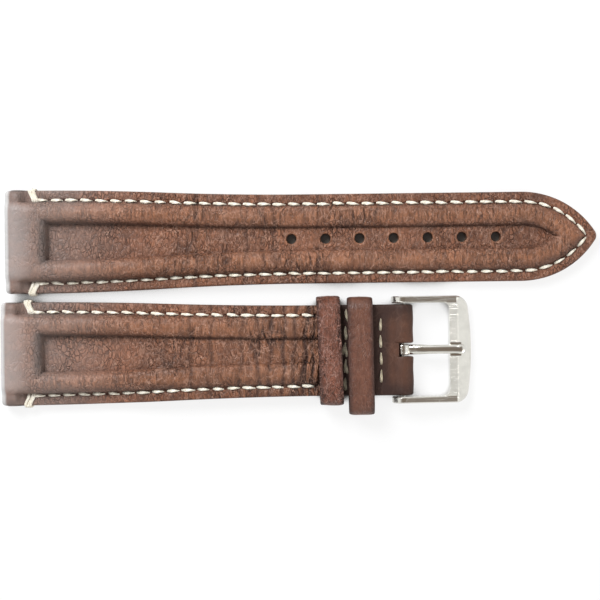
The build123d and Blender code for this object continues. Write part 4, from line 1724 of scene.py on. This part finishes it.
@dataclass
class Tang(Piece):
    """The pin of the buckle: a rolled hub and a rounded rod with a bead at its tip."""

    tip: float = 89.8
    half_wide: float = 0.97
    hub_half: float = 0.98
    hub_radius: float = 1.3
    hub_bore: float = 0.81

    def rod(self) -> Array:
        """Sections of the rod, closed at both ends.

        Each is a superellipse of power 2.3. The half width 0.97 mm narrows by 0.12 mm
        and widens again at the bead; the height goes from 1.2 to 0.88 mm and the
        underside rises to the notch. A quarter superellipse rounds the tip.

        Returns:
            Points, section by section.
        """
        start = self.half.bar[0] + 1.05
        x = np.concatenate([[start], runs((start, 87.9, 40), (87.9, self.tip, 24))])[:, None]
        share = np.clip((x - self.half.bar[0]) / 8.4, 0.0, 1.0)
        bead = bell(x, self.tip - 0.95, 0.75)
        wide = self.half_wide - 0.12 * ramp(x, 80.5, 2.5) + 0.12 * bead
        high = 0.6 - 0.16 * share + 0.06 * bead
        arch = 0.22 * np.sin(np.pi * np.clip((x - start) / 7.35, 0.0, 1.0))
        low = self.half.bar[1] - 0.6 + 0.86 * share + arch
        size = dome((self.tip - x) / 0.95, 2.0)
        size[0] = 0.0
        bow, out = squared(full_turn(32)[None, :], 2.0 / 2.3)
        return stacked(x, wide * size * bow, low + high + high * size * out)

    def build(self) -> bpy.types.Object:
        """Join the rod to a hub round the spring bar.

        Returns:
            The finished piece.
        """
        shell = Shell()
        shell.grid(self.rod(), wrap_columns=True)
        shell.next_part()
        turn = full_turn(48)[:, None]
        inner = self.hub_half - rim_steps()
        y = np.concatenate([-inner, [0.0], inner[::-1]])[None, :]
        radius = self.hub_radius - rim(self.hub_half - np.abs(y), 0.25)
        outer = stacked(
            self.half.bar[0] + radius * np.cos(turn), y, self.half.bar[1] + radius * np.sin(turn)
        )
        rolled(shell, outer, self.half.bar, self.hub_bore)
        return shell.place(Kind.PIN, self.half, self.finish, *self.nodes, body=Body.TANG)


# ---------------------------------------------------------------- studio


@dataclass(frozen=True)
class Lamp:
    """An area lamp that looks at the object."""

    name: str
    place: tuple[float, float, float]
    size: float
    power: float
    colour: Colour

    def build(self) -> None:
        """Create the lamp."""
        light = bpy.data.lights.new(self.name, "AREA")
        light.shape = "DISK"
        light.size, light.energy, light.color = self.size, self.power, self.colour
        lamp = bpy.data.objects.new(self.name, light)
        lamp.location = self.place
        lamp.rotation_euler = (-Vector(self.place)).to_track_quat("-Z", "Y").to_euler()
        bpy.context.scene.collection.objects.link(lamp)


@dataclass(frozen=True)
class Studio:
    """Floor, world, lamps and camera."""

    roll: float = -0.7
    distance: float = 0.2795
    target: tuple[float, float, float] = (0.000185, 0.0, 0.0015)
    lens: float = 86.4
    daylight: float = 0.45
    floor_size: float = 6.0
    lamps: tuple[Lamp, ...] = (
        Lamp("window", (-0.2, 0.26, 0.34), 0.26, 2.4, (0.97, 0.985, 1.0)),
        Lamp("fill", (0.46, -0.3, 0.3), 0.4, 1.2, (1.0, 0.97, 0.93)),
    )

    def camera(self) -> None:
        """Look straight down on the strap, as the photograph does, turned by the roll."""
        data = bpy.data.cameras.new("camera")
        data.lens, data.sensor_width, data.clip_start = self.lens, 36.0, 0.01
        camera = bpy.data.objects.new("camera", data)
        camera.location = Vector(self.target) + Vector((0.0, 0.0, self.distance))
        camera.rotation_euler = (0.0, 0.0, math.radians(self.roll))
        bpy.context.scene.collection.objects.link(camera)
        bpy.context.scene.camera = camera

    def floor(self) -> None:
        """A plain pale floor that reads white to the camera and keeps a soft shadow."""
        g = Graph("floor_white")
        open_air = g.signal("AmbientOcclusion", {"Distance": 0.006}, "AO", samples=24)
        sky = open_air.step(0.2, 0.46)
        patchy = g.noise(g.place(), 0.004, 2.0) * 0.1
        pale = g.mix(patchy, (0.94, 0.94, 0.94), (0.9, 0.9, 0.9))
        # Painted shade: the floor's colour where it is closed in, as under the strap's holes
        shaded = (0.2, 0.18, 0.16)
        pale = g.mix(sky, shaded, pale)
        plain = g.signal("BsdfDiffuse", {"Color": pale})
        bright = g.signal("Emission", {"Color": WHITE, "Strength": 1.0})
        seen = g.ray("Is Camera Ray")
        for name in ("Is Glossy Ray", "Is Transmission Ray"):
            seen = g.math("MAXIMUM", seen, g.ray(name))
        g.end("Material", g.blend(seen * sky * 0.82, plain, bright))
        mesh = bpy.data.meshes.new("floor")
        half = self.floor_size / 2.0
        corners = [(-half, -half, 0.0), (half, -half, 0.0), (half, half, 0.0), (-half, half, 0.0)]
        mesh.from_pydata(corners, [], [(0, 1, 2, 3)])
        mesh.materials.append(g.owner)
        floor = bpy.data.objects.new("floor", mesh)
        bpy.context.scene.collection.objects.link(floor)

    def world(self) -> None:
        """Even white light from all round and a white backdrop.

        Steel mirrors a room that is white at the sides and darker overhead.
        """
        g = Graph("studio", world=True)
        heading = g.signal("TexCoord", output="Generated")
        room = g.node("ValToRGB", {0: g.signal("SeparateXYZ", {0: heading}, "Z")})
        ramp = room.color_ramp
        ramp.interpolation = "EASE"
        tones = [(0.72, (1.0, 1.0, 0.98, 1.0)), (0.97, (0.23, 0.185, 0.15, 1.0))]
        for element, (place, tone) in zip(ramp.elements, tones):
            element.position, element.color = place, tone
        even = g.signal("Background", {"Color": WHITE, "Strength": self.daylight})
        mirrored_room = g.signal("Background", {"Color": Signal(g, room.outputs[0])})
        backdrop = g.signal("Background", {"Color": WHITE})
        light = g.blend(g.ray("Is Glossy Ray"), even, mirrored_room)
        g.end("World", g.blend(g.ray("Is Camera Ray"), light, backdrop))
        bpy.context.scene.world = g.owner

    def build(self) -> None:
        """Set up the whole studio."""
        bpy.context.scene.view_settings.view_transform = "Standard"
        self.camera()
        self.floor()
        self.world()
        for lamp in self.lamps:
            lamp.build()


# ---------------------------------------------------------------- the strap


UPPER_LEATHER = Leather(
    "strap_leather", srgb(147, 96, 70), srgb(176, 119, 84), srgb(44, 25, 20),
    crackle=0.7, glint=0.12, holes=True,
)
LINING_LEATHER = Leather(
    "strap_lining", srgb(176, 134, 98), srgb(192, 152, 116), srgb(120, 84, 58),
    roughness=0.6, grain=2.6, grain_depth=0.03, crackle=0.1, crease_depth=0.05, contrast=0.35,
)
KEEPER_LEATHER = Leather(
    "keeper_leather", srgb(101, 61, 48), srgb(144, 97, 76), srgb(40, 24, 20),
    roughness=0.42, grain=1.6, grain_depth=0.11, crackle=0.3, crease_depth=0.0, contrast=0.7,
    glint=0.05,
)
LOOSE_LEATHER = Leather(
    "loose_keeper_leather", srgb(116, 67, 50), srgb(160, 101, 78), srgb(40, 23, 19),
    roughness=0.4, grain=1.2, grain_depth=0.24, crackle=1.6, crease_depth=0.1, glint=0.1,
)
SEWING_THREAD = Thread("sewing_thread", srgb(252, 247, 234), srgb(206, 194, 168))
# A darker copy of the sewing thread for the cross rows: painted shade, as the rows lie in the
# keepers' shade
CROSS_THREAD = Thread("cross_thread", srgb(206, 194, 168), srgb(138, 122, 100))
POLISHED = Steel("mirror_steel", srgb(226, 224, 218), 0.16, (0.25, 2.5, 1.0), 0.012)
DRAWN = Steel("drawn_steel", srgb(196, 196, 194), 0.3, (2.0, 0.3, 2.0), 0.01)


@dataclass
class Strap:
    """The whole strap: both halves, their thread, the keepers and the steel."""

    tip: TipHalf = TipHalf(
        body=Body.TIP, origin=(-56.735, 11.825), length=114.5, narrowing=2.7, taper_start=4.0,
        taper_end=58.0, fall_end=58.0, fall_height=3.4, lift=0.0, seed=1,
    )
    buckle: BuckleHalf = BuckleHalf(
        body=Body.BUCKLE, origin=(-57.765, -9.805), length=79.7, narrowing=2.5, taper_start=2.0,
        taper_end=63.4, fall_end=56.2, fall_height=4.7, lift=1.4, seed=2,
    )

    def build(self) -> None:
        """Build every piece."""
        upper, lining = UPPER_LEATHER.material(), LINING_LEATHER.material()
        thread, cross = SEWING_THREAD.material(), CROSS_THREAD.material()
        polished = POLISHED.material()
        fixed, loose = KEEPER_LEATHER.material(), LOOSE_LEATHER.material()
        rear, front = self.buckle.rows
        pieces = [
            TipUpper(self.tip, upper, ("tip_upper", "tip_padding")),
            BuckleUpper(self.buckle, upper, ("buckle_upper", "buckle_padding")),
            Lining(self.tip, lining, ("tip_lining",)),
            Lining(self.buckle, lining, ("buckle_lining",)),
            Seam(self.tip, thread, ("tip_stitching",)),
            Seam(self.buckle, thread, ("buckle_stitching",)),
            CornerWraps(self.tip, thread, ("tip_corner_threads",)),
            CornerWraps(self.buckle, thread, ("buckle_corner_threads",)),
            CrossRow(self.buckle, cross, ("front_cross_stitches",), front, 4),
            CrossRow(self.buckle, cross, ("rear_cross_stitches",), rear, 5, doubled=True),
            Keeper(self.buckle, fixed, ("fixed_keeper",), Body.BUCKLE,
                   67.0, 4.95, 22.8, 1.2, 2.3, shift=-1.05, skew=-0.01, wrinkle=0.012),
            Keeper(self.buckle, loose, ("loose_keeper",), Body.KEEPER,
                   61.3, 4.6, 21.1, 1.1, 0.0, skew=-0.03, wrinkle=0.03, lines=1.0),
            Tang(self.buckle, polished, ("buckle_tang",)),
        ]
        for piece in pieces:
            piece.build()
        self.dress_steel(polished, DRAWN.material())

    def dress_steel(self, polished: bpy.types.Material, drawn: bpy.types.Material) -> None:
        """Give the steel nodes of the frame their finishes.

        Args:
            polished: finish of the frame.
            drawn: finish of the spring bar.
        """
        finishes = {"buckle_frame": polished}
        for part in ("tube", "plunger_far", "plunger_near", "spring"):
            finishes[f"spring_bar_{part}"] = drawn
        for name, finish in finishes.items():
            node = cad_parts[name]
            for slot in node.material_slots:
                slot.material = finish
            log.info("%s: finish %s", name, finish.name)


def main() -> None:
    """Build the studio and the strap."""
    logging.basicConfig(level=logging.INFO, format="%(message)s")
    Studio().build()
    Strap().build()


if __name__ == "__main__":
    main()
